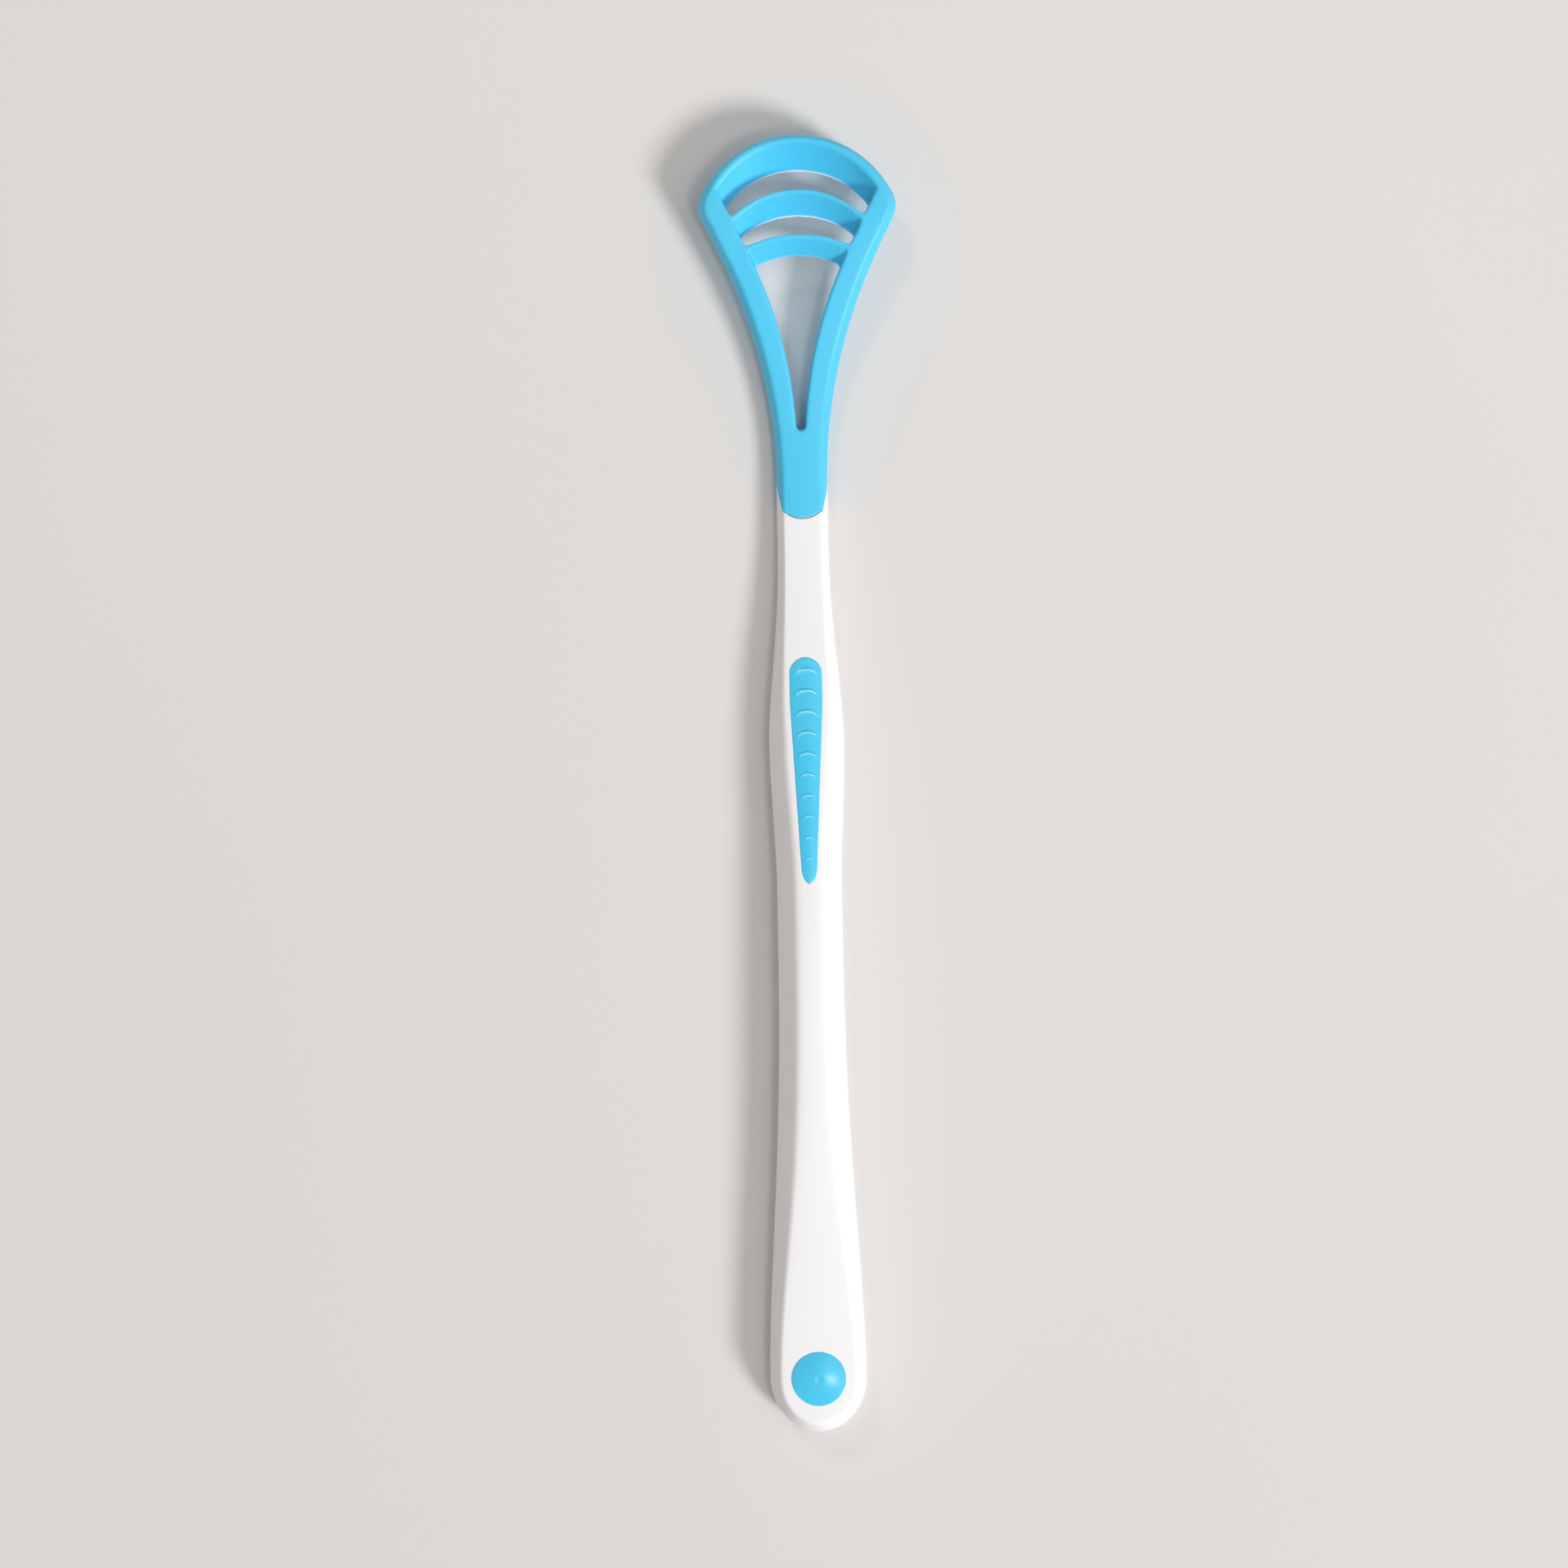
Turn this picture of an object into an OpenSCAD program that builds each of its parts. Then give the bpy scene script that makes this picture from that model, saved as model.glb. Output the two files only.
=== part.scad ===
// Tongue scraper with three slanted blades in a fan-shaped head.
// It lies on its back: the XY plane is the table, +Y points to the head and +Z to the thumb side.
// The origin is on the table, under the middle of the whole length. Lengths are in millimetres.

/* [Handle] */
// Length from the butt to the tongue of the head
handle_l = 121.2; // [105:0.2:140]
// Width of the butt, the widest part of the handle
butt_w = 12.8; // [11:0.1:15]
// Length of the rounded end of the butt
butt_end_l = 7.4; // [6:0.1:9]
// Width of the waist behind the grip
waist_w = 8.6; // [7.6:0.1:9.6]
// Width of the swell under the thumb
swell_w = 10; // [9:0.1:11.4]
// Width of the neck
neck_w = 6.8; // [6.2:0.1:7.6]
// Thickness at the butt
butt_t = 6.5; // [5:0.1:8]
// Thickness at the thickest place, behind the waist
back_t = 7.7; // [6.6:0.1:9.4]
// Thickness of the neck, and of the head's frame
neck_t = 3.2; // [2.8:0.1:3.8]
// Height of the neck's underside over the table
neck_lift = 0.35; // [0.2:0.05:1]
// Height of the arch of the handle's top
top_arch = 0.15; // [0.05:0.01:0.3]
// Height of the arch of the neck's and the head's face
neck_arch = 0.08; // [0.04:0.01:0.12]

/* [Slanting edges, seen from above] */
// Width at the butt
butt_edge = 1.3; // [0.8:0.1:2]
// Width along the waist
waist_edge = 2.3; // [1.6:0.1:2.8]
// Width at the swell
swell_edge = 2; // [1.2:0.1:2.4]
// Width along the neck and the arms of the head
neck_edge = 0.85; // [0.5:0.05:1.1]
// Width along the rim at the tip
rim_edge = 0.5; // [0.3:0.05:0.7]

/* [Head] */
// Length of the head from its tongue to its tip
head_l = 50.8; // [46:0.2:56]
// Width of the head
head_w = 26.2; // [24:0.1:28]
// Distance from the tip to the centres of the corner arcs
crown_h = 9.5; // [8.4:0.1:10.6]
// Radius of the corners
corner_r = 3.6; // [3:0.1:4.4]
// Lean of the flanks from the long axis, in degrees
flank_lean = 26; // [24:0.5:28]
// Radius of the hollow curve from the neck to the flanks
flare_r = 68; // [60:1:74]
// Width of the arms
arm_w = 3.55; // [3:0.05:4]
// Width of the rim at the tip
rim_w = 1.2; // [1:0.1:1.6]
// Radius of the inner edge of the rim
rim_r = 12.2; // [11.8:0.1:13]
// Radius at the bottom of the fork
fork_r = 0.6; // [0.4:0.05:0.8]
// Distance from the tongue to the bottom of the fork
fork_l = 11.8; // [11:0.1:13.4]
// Rise of the face from the neck to the tip
head_lift = 3.6; // [2.6:0.1:4.4]

/* [Blades] */
// Distance from the rim's inner edge to the front edge of the middle blade
upper_pitch = 6.1; // [5.6:0.1:6.6]
// Distance from the front edge of the middle blade to that of the lower blade
lower_pitch = 5.9; // [5.4:0.1:6.4]
// Radius of the front edge of the middle blade
middle_r = 12.7; // [12:0.1:14]
// Radius of the front edge of the lower blade
lower_r = 16.9; // [14:0.1:18]
// Width of the front edge of the middle and the lower blade
blade_rim_w = 0.65; // [0.5:0.05:0.9]
// Width of the scraping lips
lip_w = 0.45; // [0.3:0.05:0.6]
// Radius of the scraping lips
lip_r = 11.9; // [11.6:0.1:12.6]
// Radius that rounds the ends of the slots between blades and arms
slot_r = 0.5; // [0.35:0.05:0.6]
// Slant of the blades from upright, in degrees
blade_slant = 44.5; // [41:0.5:47]
// Depth of the upper blade from the face to its lip
upper_depth = 3.7; // [3.4:0.1:3.9]
// Depth of the middle blade
middle_depth = 3; // [2.7:0.1:3.2]
// Depth of the lower blade
lower_depth = 2.4; // [2.1:0.1:2.7]
// Length that the blades' ends run on under the arms
blade_root = 0.4; // [0.2:0.1:0.6]

/* [Joint of head and handle] */
// Radius of the end of the tongue
tongue_r = 3.65; // [3:0.05:4.5]
// Width of the end of the tongue
tongue_w = 4.8; // [4.2:0.1:5.2]
// Length that the handle's cheeks run on beside the tongue
cheek_l = 5; // [3:0.1:6]
// Length of the handle's tang inside the head
tang_l = 9; // [6:0.1:9.6]
// Width of the tang
tang_w = 4; // [3:0.1:4.2]
// Thickness of the tang
tang_t = 1.4; // [1:0.1:1.6]
// Gap between pieces that are moulded on one another
bond_gap = 0.02; // [0.01:0.01:0.04]

/* [Grip pad] */
// Length of the grip pad
pad_l = 30; // [26:0.1:33]
// Distance from the tongue of the head to the pad
pad_gap = 18.4; // [16:0.1:22]
// Radius of the pad's wide end
pad_wide_r = 2.2; // [2:0.05:2.5]
// Radius of the pad's narrow end
pad_tip_r = 1.1; // [0.9:0.05:1.4]
// Length of the pad's narrow end, which tapers as half an ellipse
pad_tip_l = 2.4; // [1.4:0.1:3]
// Length over which the pad keeps its full width
pad_full_l = 4; // [2:0.1:6]
// Depth of the pad's recess
pad_depth = 1.2; // [0.8:0.1:1.6]
// Height of the pad's middle over the handle
pad_rise = 0.12; // [0.05:0.01:0.25]
// Number of ridges on the pad
ridges = 10; // [7:1:10]
// Distance between ridges
ridge_pitch = 2.77; // [2.5:0.01:2.8]
// Distance from a ridge's end to the pad's side
ridge_margin = 0.75; // [0.6:0.05:0.85]
// Height of the largest ridge
ridge_h = 0.18; // [0.12:0.01:0.3]
// Thickness of the largest ridge
ridge_w = 0.44; // [0.34:0.02:0.6]

/* [End dot] */
// Radius of the dot
dot_r = 3.6; // [2.8:0.1:4]
// Distance from the butt to the dot's middle
dot_back = 7.4; // [6.6:0.1:9]
// Depth of the dot's recess
dot_depth = 1.4; // [1:0.1:2]
// Height of the dot's rim over the handle
dot_rise = 0.06; // [0.02:0.01:0.15]
// Height of the dot's crown over its rim
dot_crown = 0.45; // [0.2:0.05:0.8]
// Radius of the gate mark in the dot
gate_r = 0.4; // [0.3:0.05:0.6]
// Depth of the gate mark
gate_d = 0.12; // [0.05:0.01:0.2]

/* [Hidden] */
$fn = 64;

BLUE = [0.26, 0.72, 0.94];
DEEP_BLUE = [0.2, 0.6, 0.86];
WHITE = [0.95, 0.95, 0.96];

// Places along the length.
overall_l = handle_l + head_l;
butt_y = -overall_l / 2;
tip_y = overall_l / 2;
tongue_y = butt_y + handle_l;
wide_y = butt_y + butt_end_l;

// Where the handle is thickest, narrowest and fullest, as shares of its length.
back_share = 0.4;
waist_share = 0.593;
swell_share = 0.76;
neck_share = 0.965;
back_y = butt_y + back_share * handle_l;
waist_y = butt_y + waist_share * handle_l;
swell_y = butt_y + swell_share * handle_l;
neck_y = butt_y + neck_share * handle_l;

// How late a change comes between two places: 1 is even, more is later.
butt_lag = 1.6;
butt_edge_lag = 1.3;
neck_lag = 0.8;
neck_edge_lag = 0.55;
top_lag = 1.5;
lift_lag = 1.3;
under_lag = 0.6;

// The side of a section is a curve between an ellipse, at 1, and a straight slant, at 2.
side_power = 1.5;

// The arch has its full height where the face is at least this wide, from the middle.
arch_full_w = neck_w / 2 - neck_edge;

// Steps of the lofted shapes.
quarter_steps = 5;
arch_steps = 4;
crown_steps = 14;
corner_steps = 9;
flank_steps = 3;
flare_steps = 12;
cheek_steps = 2;
neck_steps = 3;
shaft_step = 2.8;
butt_steps = 12;
pole_turn = 2;
blade_steps = 28;
seam_steps = 24;
fork_steps = 10;
round_steps = 6;
pad_steps = 20;
overrun = 1;

// Outline of the head: crown arc, corner arc, straight flank and hollow flare.
corner_x = head_w / 2 - corner_r;
corner_y = tip_y - crown_h;
crown_r = (corner_x ^ 2 + crown_h ^ 2 - corner_r ^ 2) / (2 * (crown_h - corner_r));
crown_y = tip_y - crown_r;
crown_turn = atan2(corner_y - crown_y, corner_x);
flank_x = corner_x + corner_r * cos(flank_lean);
flank_y = corner_y - corner_r * sin(flank_lean);
flank_l = (flank_x - neck_w / 2 - flare_r * (1 - cos(flank_lean))) / sin(flank_lean);
flare_x = neck_w / 2 + flare_r;
flare_y = flank_y - flank_l * cos(flank_lean) - flare_r * sin(flank_lean);

// The face rises from the neck to the corners of the head.
lift_start_y = flare_y;
lift_end_y = corner_y;

// A blade is [y of the front edge's top, its radius, front width, depth].
rim_in_y = tip_y - rim_w;
upper = [rim_in_y, rim_r, rim_w / 2, upper_depth];
middle = [rim_in_y - upper_pitch - blade_rim_w, middle_r - blade_rim_w, blade_rim_w, middle_depth];
lower = [middle[0] - lower_pitch, lower_r - blade_rim_w, blade_rim_w, lower_depth];

// The fork's inner arcs start where the outer hollow does.
fork_top_y = flare_y + flare_r * sin(flank_lean);
fork_y = tongue_y + fork_l + fork_r;
fork_in = arm_in(fork_top_y);
fork_drop = fork_top_y - fork_y;
fork_arc_r = (fork_in ^ 2 + fork_drop ^ 2 - fork_r ^ 2)
    / (2 * (fork_drop * sin(flank_lean) + fork_r - fork_in * cos(flank_lean)));
fork_arc_x = fork_in + fork_arc_r * cos(flank_lean);
fork_arc_y = fork_top_y - fork_arc_r * sin(flank_lean);
fork_turn = atan2(fork_arc_y - fork_y, fork_arc_x);

// The tang lies in the middle of the neck's thickness.
tang_z = neck_lift + neck_t / 2;
cheek_y = tongue_y + tongue_r - sqrt(tongue_r ^ 2 - (tongue_w / 2) ^ 2);
cheek_w = neck_w / 2 - tongue_w / 2 + bond_gap;

// Places of the pad, its ridges and the dot. A ridge's arc is this many times its half width.
pad_wide_y = tongue_y - pad_gap - pad_wide_r;
pad_full_y = pad_wide_y - pad_full_l;
pad_tip_y = tongue_y - pad_gap - pad_l + pad_tip_l;
first_ridge_share = 0.25;
ridge_y = pad_wide_y + first_ridge_share * pad_wide_r;
ridge_arc_share = 1.8;
ridge_span = 50;
ridge_ref = pad_wide_r - ridge_margin;
ridge_tilt = asin(min(ridge_h / (ridge_ref * (ridge_arc_share - sqrt(ridge_arc_share ^ 2 - 1))), sin(60)));
dot_y = butt_y + dot_back;
dot_rim_z = skin_z(0, dot_y) + dot_rise;
dot_dome_r = (dot_r ^ 2 + dot_crown ^ 2) / (2 * dot_crown);

// Curves between places.
function mix(a, b, t) = a + (b - a) * t;
function clamp(t) = min(max(t, 0), 1);
function ease(t) = t * t * (3 - 2 * t);
function along(y, from, to, lag = 1) = ease(clamp((y - from) / (to - from)) ^ lag);
function arc_y(x, top, radius) = top - radius + sqrt(radius ^ 2 - x ^ 2);

// Half the width of the handle, and the width of its slanting edge.
function half_w(y) =
    y < waist_y ? mix(waist_w, butt_w, along(y, waist_y, wide_y, butt_lag)) / 2
    : y < swell_y ? mix(waist_w, swell_w, along(y, waist_y, swell_y)) / 2
    : mix(swell_w, neck_w, along(y, swell_y, neck_y, neck_lag)) / 2;
function edge_w(y) =
    y < back_y ? mix(waist_edge, butt_edge, along(y, back_y, wide_y, butt_edge_lag))
    : y < waist_y ? waist_edge
    : y < swell_y ? mix(waist_edge, swell_edge, along(y, waist_y, swell_y))
    : y < neck_y ? mix(swell_edge, neck_edge, along(y, swell_y, neck_y, neck_edge_lag))
    : mix(neck_edge, rim_edge, along(y, corner_y, tip_y));

// The underside's edge at the tip leans in so far that the rim's wall runs on into the upper blade.
rim_lean = rim_w + neck_t * tan(blade_slant) - upper[2];
function under_edge(y) = y < neck_y ? edge_w(y) : mix(neck_edge, rim_lean, along(y, corner_y, tip_y));

// Heights of the face, of the underside and of the arched top.
function lift(y) = head_lift * along(y, lift_start_y, lift_end_y, lift_lag);
function face_z(y) =
    y < back_y ? mix(back_t, butt_t, along(y, back_y, wide_y))
    : mix(back_t, neck_lift + neck_t, along(y, back_y, flare_y, top_lag)) + lift(y);
function under_z(y) = neck_lift * along(y, swell_y, flare_y, under_lag) + lift(y);
function arch_z(x, y, width) =
    mix(top_arch, neck_arch, along(y, swell_y, neck_y)) * min(width / arch_full_w, 1) * (1 - (x / width) ^ 2);
function skin_z(x, y) = face_z(y) + arch_z(x, y, half_w(y) - edge_w(y));

// The arms' inner edge beside the flank, and the seam between head and handle.
function arm_in(y) = flank_x + (y - flank_y) * tan(flank_lean) - arm_w / cos(flank_lean);
function seam_y(x) =
    abs(x) < tongue_w / 2 ? tongue_y + tongue_r - sqrt(tongue_r ^ 2 - x ^ 2)
    : cheek_y + cheek_l * (1 - sqrt(1 - clamp((abs(x) - tongue_w / 2) / cheek_w) ^ 2));

// Stations of the outline: [x, y, direction of the normal], from the tip to the butt.
function neck_station(i) = [neck_w / 2, mix(flare_y, tongue_y - overrun, i / neck_steps), 0];
function flare_station(i) =
    let (a = -flank_lean * (1 - i / flare_steps))
    [flare_x - flare_r * cos(a), flare_y - flare_r * sin(a), a];
function head_stations() = concat(
    [for (i = [0 : crown_steps]) let (a = mix(90 - pole_turn, crown_turn, i / crown_steps))
        [crown_r * cos(a), crown_y + crown_r * sin(a), a]],
    [for (i = [1 : corner_steps]) let (a = mix(crown_turn, -flank_lean, i / corner_steps))
        [corner_x + corner_r * cos(a), corner_y + corner_r * sin(a), a]],
    [for (i = [1 : flank_steps - 1]) let (s = flank_l * i / flank_steps)
        [flank_x - s * sin(flank_lean), flank_y - s * cos(flank_lean), -flank_lean]],
    [for (i = [0 : flare_steps]) flare_station(i)],
    [for (i = [1 : neck_steps]) neck_station(i)]);
function handle_stations() =
    let (start_y = tongue_y - overrun, steps = ceil((start_y - wide_y) / shaft_step))
    concat(
        [for (i = [flare_steps - cheek_steps : flare_steps]) flare_station(i)],
        [for (i = [1 : neck_steps]) neck_station(i)],
        [for (i = [1 : steps - 1]) let (y = mix(start_y, wide_y, i / steps)) [half_w(y), y, 0]],
        [for (i = [0 : butt_steps]) let (a = -(90 - 2 * pole_turn) * i / butt_steps)
            [butt_w / 2 * cos(a), wide_y + butt_end_l * sin(a),
                atan2(sin(a) / butt_end_l, cos(a) * 2 / butt_w)]]);

// A section is a closed loop: up the right side, over the top and down the left side.
function side_point(station, turn) =
    let (edge = turn < 0 ? under_edge(station[1]) : edge_w(station[1]),
        inset = edge * (1 - cos(turn) ^ side_power),
        x = station[0] - inset * cos(station[2]),
        y = station[1] - inset * sin(station[2]),
        middle_z = (face_z(y) + under_z(y)) / 2,
        half_t = (face_z(y) - under_z(y)) / 2)
    [x, y, middle_z + half_t * sign(turn) * abs(sin(turn)) ^ side_power];
function mirrored(points) =
    [for (i = [len(points) - 1 : -1 : 0]) [-points[i][0], points[i][1], points[i][2]]];
function section(station) =
    let (side = [for (k = [-quarter_steps : quarter_steps]) side_point(station, 90 * k / quarter_steps)],
        rim = side[len(side) - 1],
        top = [for (k = [1 : arch_steps - 1]) let (x = rim[0] * (1 - k / arch_steps))
            [x, rim[1], rim[2] + arch_z(x, rim[1], rim[0])]],
        right = concat(side, top))
    concat(right, [[0, rim[1], rim[2] + arch_z(0, rim[1], rim[0])]], mirrored(right));

// The pad's outline as [half width, y], and its sections.
function pad_half(y) =
    y > pad_full_y ? pad_wide_r
    : mix(pad_wide_r, pad_tip_r, clamp((pad_full_y - y) / (pad_full_y - pad_tip_y)));
function pad_stations(grow) = concat(
    [for (i = [0 : round_steps - 1]) let (a = (90 - pole_turn * 3) * (1 - i / round_steps))
        [(pad_wide_r + grow) * cos(a), pad_wide_y + (pad_wide_r + grow) * sin(a)]],
    [for (i = [0 : pad_steps]) let (y = mix(pad_wide_y, pad_tip_y, i / pad_steps))
        [pad_half(y) + grow, y]],
    [for (i = [1 : round_steps]) let (a = (90 - pole_turn * 3) * i / round_steps)
        [(pad_tip_r + grow) * cos(a), pad_tip_y - (pad_tip_l + grow) * sin(a)]]);
function pad_section(station, grow, top) =
    let (x = station[0],
        y = station[1],
        floor_point = [x, y, face_z(y) - pad_depth - grow],
        right = [for (k = [0 : arch_steps - 1]) let (u = 1 - k / arch_steps)
            [x * u, y, skin_z(x * u, y) + pad_rise * (1 - u ^ 2) + top]])
    concat([floor_point], right, [[0, y, skin_z(0, y) + pad_rise + top]], mirrored(concat([floor_point], right)));

// Centre of the rounding between an arm's inner edge and an arc, on the arc's hollow or outer side.
function slot_centre(top, radius, hollow) =
    let (y = top - radius,
        reach = hollow ? radius - slot_r : radius + slot_r,
        base = arm_in(y) - slot_r / cos(flank_lean),
        half_b = base * sin(flank_lean),
        away = sqrt(half_b ^ 2 - base ^ 2 + reach ^ 2) - half_b)
    [base + away * sin(flank_lean), y + away * cos(flank_lean)];

// An arc whose ends are rounded into the arms, so that the slots have round ends.
function slot_y(x, top, radius, hollow) =
    let (centre = slot_centre(top, radius, hollow),
        way = hollow ? 1 : -1,
        start = centre[0] * (1 + way * slot_r / norm([centre[0], centre[1] - top + radius])),
        across = min(abs(x) - centre[0], hollow ? slot_r : slot_r * cos(flank_lean)))
    abs(x) < start ? arc_y(x, top, radius)
    : centre[1] + way * sqrt(max(slot_r ^ 2 - across ^ 2, 0));

// A blade's inner face at x and height z, and its lip's height.
function lip_z(blade) = face_z(blade[0]) - blade[3];
function blade_in(blade, x, z) =
    mix(slot_y(x, blade[0], blade[1], true), slot_y(x, blade[0] - blade[3] * tan(blade_slant), lip_r, true),
        (face_z(blade[0]) - z) / blade[3]);

// A blade's section at x: inner lip, outer lip, outer front and inner front.
function blade_section(blade, x) =
    let (low = lip_z(blade),
        in_y = slot_y(x, blade[0], blade[1], true),
        out_y = slot_y(x, blade[0] + blade[2], blade[1] + blade[2], false),
        lip_out_y = slot_y(x, blade[0] - blade[3] * tan(blade_slant) + lip_w, lip_r + lip_w, false))
    [[x, blade_in(blade, x, low), low], [x, lip_out_y, low],
        [x, out_y, face_z(out_y) - bond_gap], [x, in_y, face_z(in_y) - bond_gap]];

// Half the length of a blade: where an edge of its front meets the arm, and its root in the arm.
function blade_end(top, radius, hollow) =
    slot_centre(top, radius, hollow)[0] + slot_r * cos(flank_lean) + blade_root;

// The opening's section at x, with the upper blade's inner face for its tip side.
function opening_section(x) =
    let (low = -overrun,
        high = face_z(tip_y) + overrun)
    [[x, fork_top_y, low], [x, blade_in(upper, x, low) + lip_w / 4, low],
        [x, blade_in(upper, x, high) + lip_w / 4, high], [x, fork_top_y, high]];

// Solid through closed sections of the same number of points.
module loft(sections) {
    n = len(sections[0]);
    last = len(sections) - 1;
    sides = [for (i = [0 : last - 1], j = [0 : n - 1]) let (k = (j + 1) % n)
        each [[(i + 1) * n + j, (i + 1) * n + k, i * n + k], [(i + 1) * n + j, i * n + k, i * n + j]]];
    first_cap = [for (j = [0 : floor(n / 2) - 1])
        each [if (j + 1 < n - 2 - j) [j, j + 1, n - 2 - j], if (j < n - 2 - j) [j, n - 2 - j, n - 1 - j]]];
    last_cap = [for (face = first_cap) [last * n + face[2], last * n + face[1], last * n + face[0]]];
    polyhedron(points = [for (s = sections) each s], faces = concat(first_cap, sides, last_cap), convexity = 8);
}

// Everything on one side of the seam, as far as far_y.
module seam_block(gap, far_y) {
    reach = neck_w;
    xs = [for (i = [-seam_steps : seam_steps]) (neck_w / 2 + 2 * bond_gap) * i / seam_steps];
    points = concat([[-reach, seam_y(reach) + gap]], [for (x = xs) [x, seam_y(x) + gap]], [[reach, seam_y(reach) + gap]]);
    translate([0, 0, -overrun])
        linear_extrude(height = back_t + 2 * overrun)
            polygon(concat(points, [[reach, far_y], [-reach, far_y]]));
}

// The handle's tang, or its socket when it is grown.
module tang(grow) {
    half = tang_w / 2 + grow;
    translate([-half, tongue_y - overrun, tang_z - tang_t / 2 - grow])
        cube([2 * half, tang_l + overrun + grow, tang_t + 2 * grow]);
}

// The opening of the fan: fork, inner edges of the arms, and the upper blade's inner face.
module fan_opening() {
    right = concat(
        [[0, fork_y - fork_r]],
        [for (i = [1 : round_steps]) let (a = mix(-90, fork_turn, i / round_steps))
            [fork_r * cos(a), fork_y + fork_r * sin(a)]],
        [for (i = [1 : fork_steps]) let (a = mix(fork_turn, -flank_lean, i / fork_steps))
            [fork_arc_x - fork_arc_r * cos(a), fork_arc_y - fork_arc_r * sin(a)]],
        [[arm_in(tip_y), tip_y]]);
    left = [for (i = [len(right) - 1 : -1 : 1]) [-right[i][0], right[i][1]]];
    reach = lip_r - lip_w;
    intersection() {
        translate([0, 0, -overrun])
            linear_extrude(height = back_t + 2 * overrun)
                polygon(concat(right, left));
        union() {
            loft([for (i = [-blade_steps : blade_steps]) opening_section(reach * sin(90 * i / blade_steps))]);
            translate([-reach, fork_top_y - fork_drop - overrun, -2 * overrun])
                cube([2 * reach, fork_drop + 2 * overrun, back_t + 4 * overrun]);
        }
    }
}

module blade(spec, end) {
    loft([for (i = [-blade_steps : blade_steps]) blade_section(spec, end * sin(90 * i / blade_steps))]);
}

// The ground that the arms cover, without their slanting edges.
module arms_ground() {
    inset = neck_edge + bond_gap;
    right = [for (s = head_stations()) [s[0] - inset * cos(s[2]), s[1] - inset * sin(s[2])]];
    left = [for (i = [len(right) - 1 : -1 : 0]) [-right[i][0], right[i][1]]];
    polygon(concat(right, left));
}

// White moulding: shaft, cheeks beside the tongue, and the tang inside the head.
module handle() {
    color(WHITE) {
        difference() {
            loft([for (s = handle_stations()) section(s)]);
            seam_block(0, flare_y + flare_r * sin(flank_lean));
            loft([for (s = pad_stations(bond_gap)) pad_section(s, bond_gap, overrun)]);
            translate([0, dot_y, dot_rim_z - dot_rise - dot_depth - bond_gap])
                cylinder(r = dot_r + bond_gap, h = dot_depth + overrun);
        }
        tang(0);
    }
}

// Blue moulding: tongue over the tang, two arms, rim and three blades.
module scraper_head() {
    color(BLUE) {
        difference() {
            loft([for (s = head_stations()) section(s)]);
            seam_block(bond_gap, tongue_y - 3 * overrun);
            tang(bond_gap);
            fan_opening();
        }
        intersection() {
            union() {
                blade(upper, blade_end(upper[0], upper[1], true));
                for (spec = [middle, lower])
                    blade(spec, blade_end(spec[0] + spec[2], spec[1] + spec[2], false));
            }
            linear_extrude(height = back_t + head_lift)
                arms_ground();
        }
    }
}

// One crescent ridge: the upper part of a ring whose sides sink into the pad.
module ridge(y) {
    size = pad_half(y) - ridge_margin;
    translate([0, y, skin_z(0, y) + pad_rise])
        scale(size / ridge_ref)
            translate([0, 0, ridge_h - ridge_w / 2])
                rotate([ridge_tilt, 0, 0])
                    translate([0, -ridge_arc_share * ridge_ref, 0])
                        rotate([0, 0, 90 - ridge_span])
                            rotate_extrude(angle = 2 * ridge_span)
                                translate([ridge_arc_share * ridge_ref, 0])
                                    circle(d = ridge_w, $fn = 24);
}

module grip_pad() {
    color(BLUE) {
        loft([for (s = pad_stations(0)) pad_section(s, 0, 0)]);
        for (i = [0 : ridges - 1])
            ridge(ridge_y - i * ridge_pitch);
    }
}

// Domed disc with the mark of its gate.
module end_dot() {
    color(DEEP_BLUE)
        translate([0, dot_y, dot_rim_z])
            difference() {
                intersection() {
                    translate([0, 0, -dot_rise - dot_depth])
                        cylinder(r = dot_r, h = dot_rise + dot_depth + dot_crown + overrun);
                    translate([0, 0, dot_crown - dot_dome_r])
                        sphere(r = dot_dome_r, $fn = 128);
                }
                translate([0, 0, dot_crown - gate_d])
                    cylinder(r = gate_r, h = overrun);
            }
}

handle();
scraper_head();
grip_pad();
end_dot();
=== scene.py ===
"""Tongue scraper on a pale table: white waisted handle, blue fan head with slanted blades."""
import logging
import math
from dataclasses import dataclass, field
from enum import Enum
from typing import Callable, Sequence

import bmesh
import bpy
from mathutils import Euler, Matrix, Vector


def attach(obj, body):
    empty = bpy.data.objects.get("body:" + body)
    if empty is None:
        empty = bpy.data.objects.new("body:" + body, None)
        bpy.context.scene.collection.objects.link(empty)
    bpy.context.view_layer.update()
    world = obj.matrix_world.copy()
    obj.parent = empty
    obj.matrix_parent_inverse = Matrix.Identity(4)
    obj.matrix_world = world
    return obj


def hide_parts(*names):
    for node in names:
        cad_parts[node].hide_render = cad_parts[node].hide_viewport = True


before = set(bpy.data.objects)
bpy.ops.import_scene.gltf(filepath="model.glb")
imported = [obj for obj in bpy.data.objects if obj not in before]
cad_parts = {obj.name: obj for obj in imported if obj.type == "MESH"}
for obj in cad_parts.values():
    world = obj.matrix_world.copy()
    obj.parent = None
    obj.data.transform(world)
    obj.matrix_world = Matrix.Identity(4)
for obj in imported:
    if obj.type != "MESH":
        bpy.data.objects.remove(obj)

logging.basicConfig(level=logging.INFO, format="%(name)s: %(message)s")
log = logging.getLogger("tongue_scraper")

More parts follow.
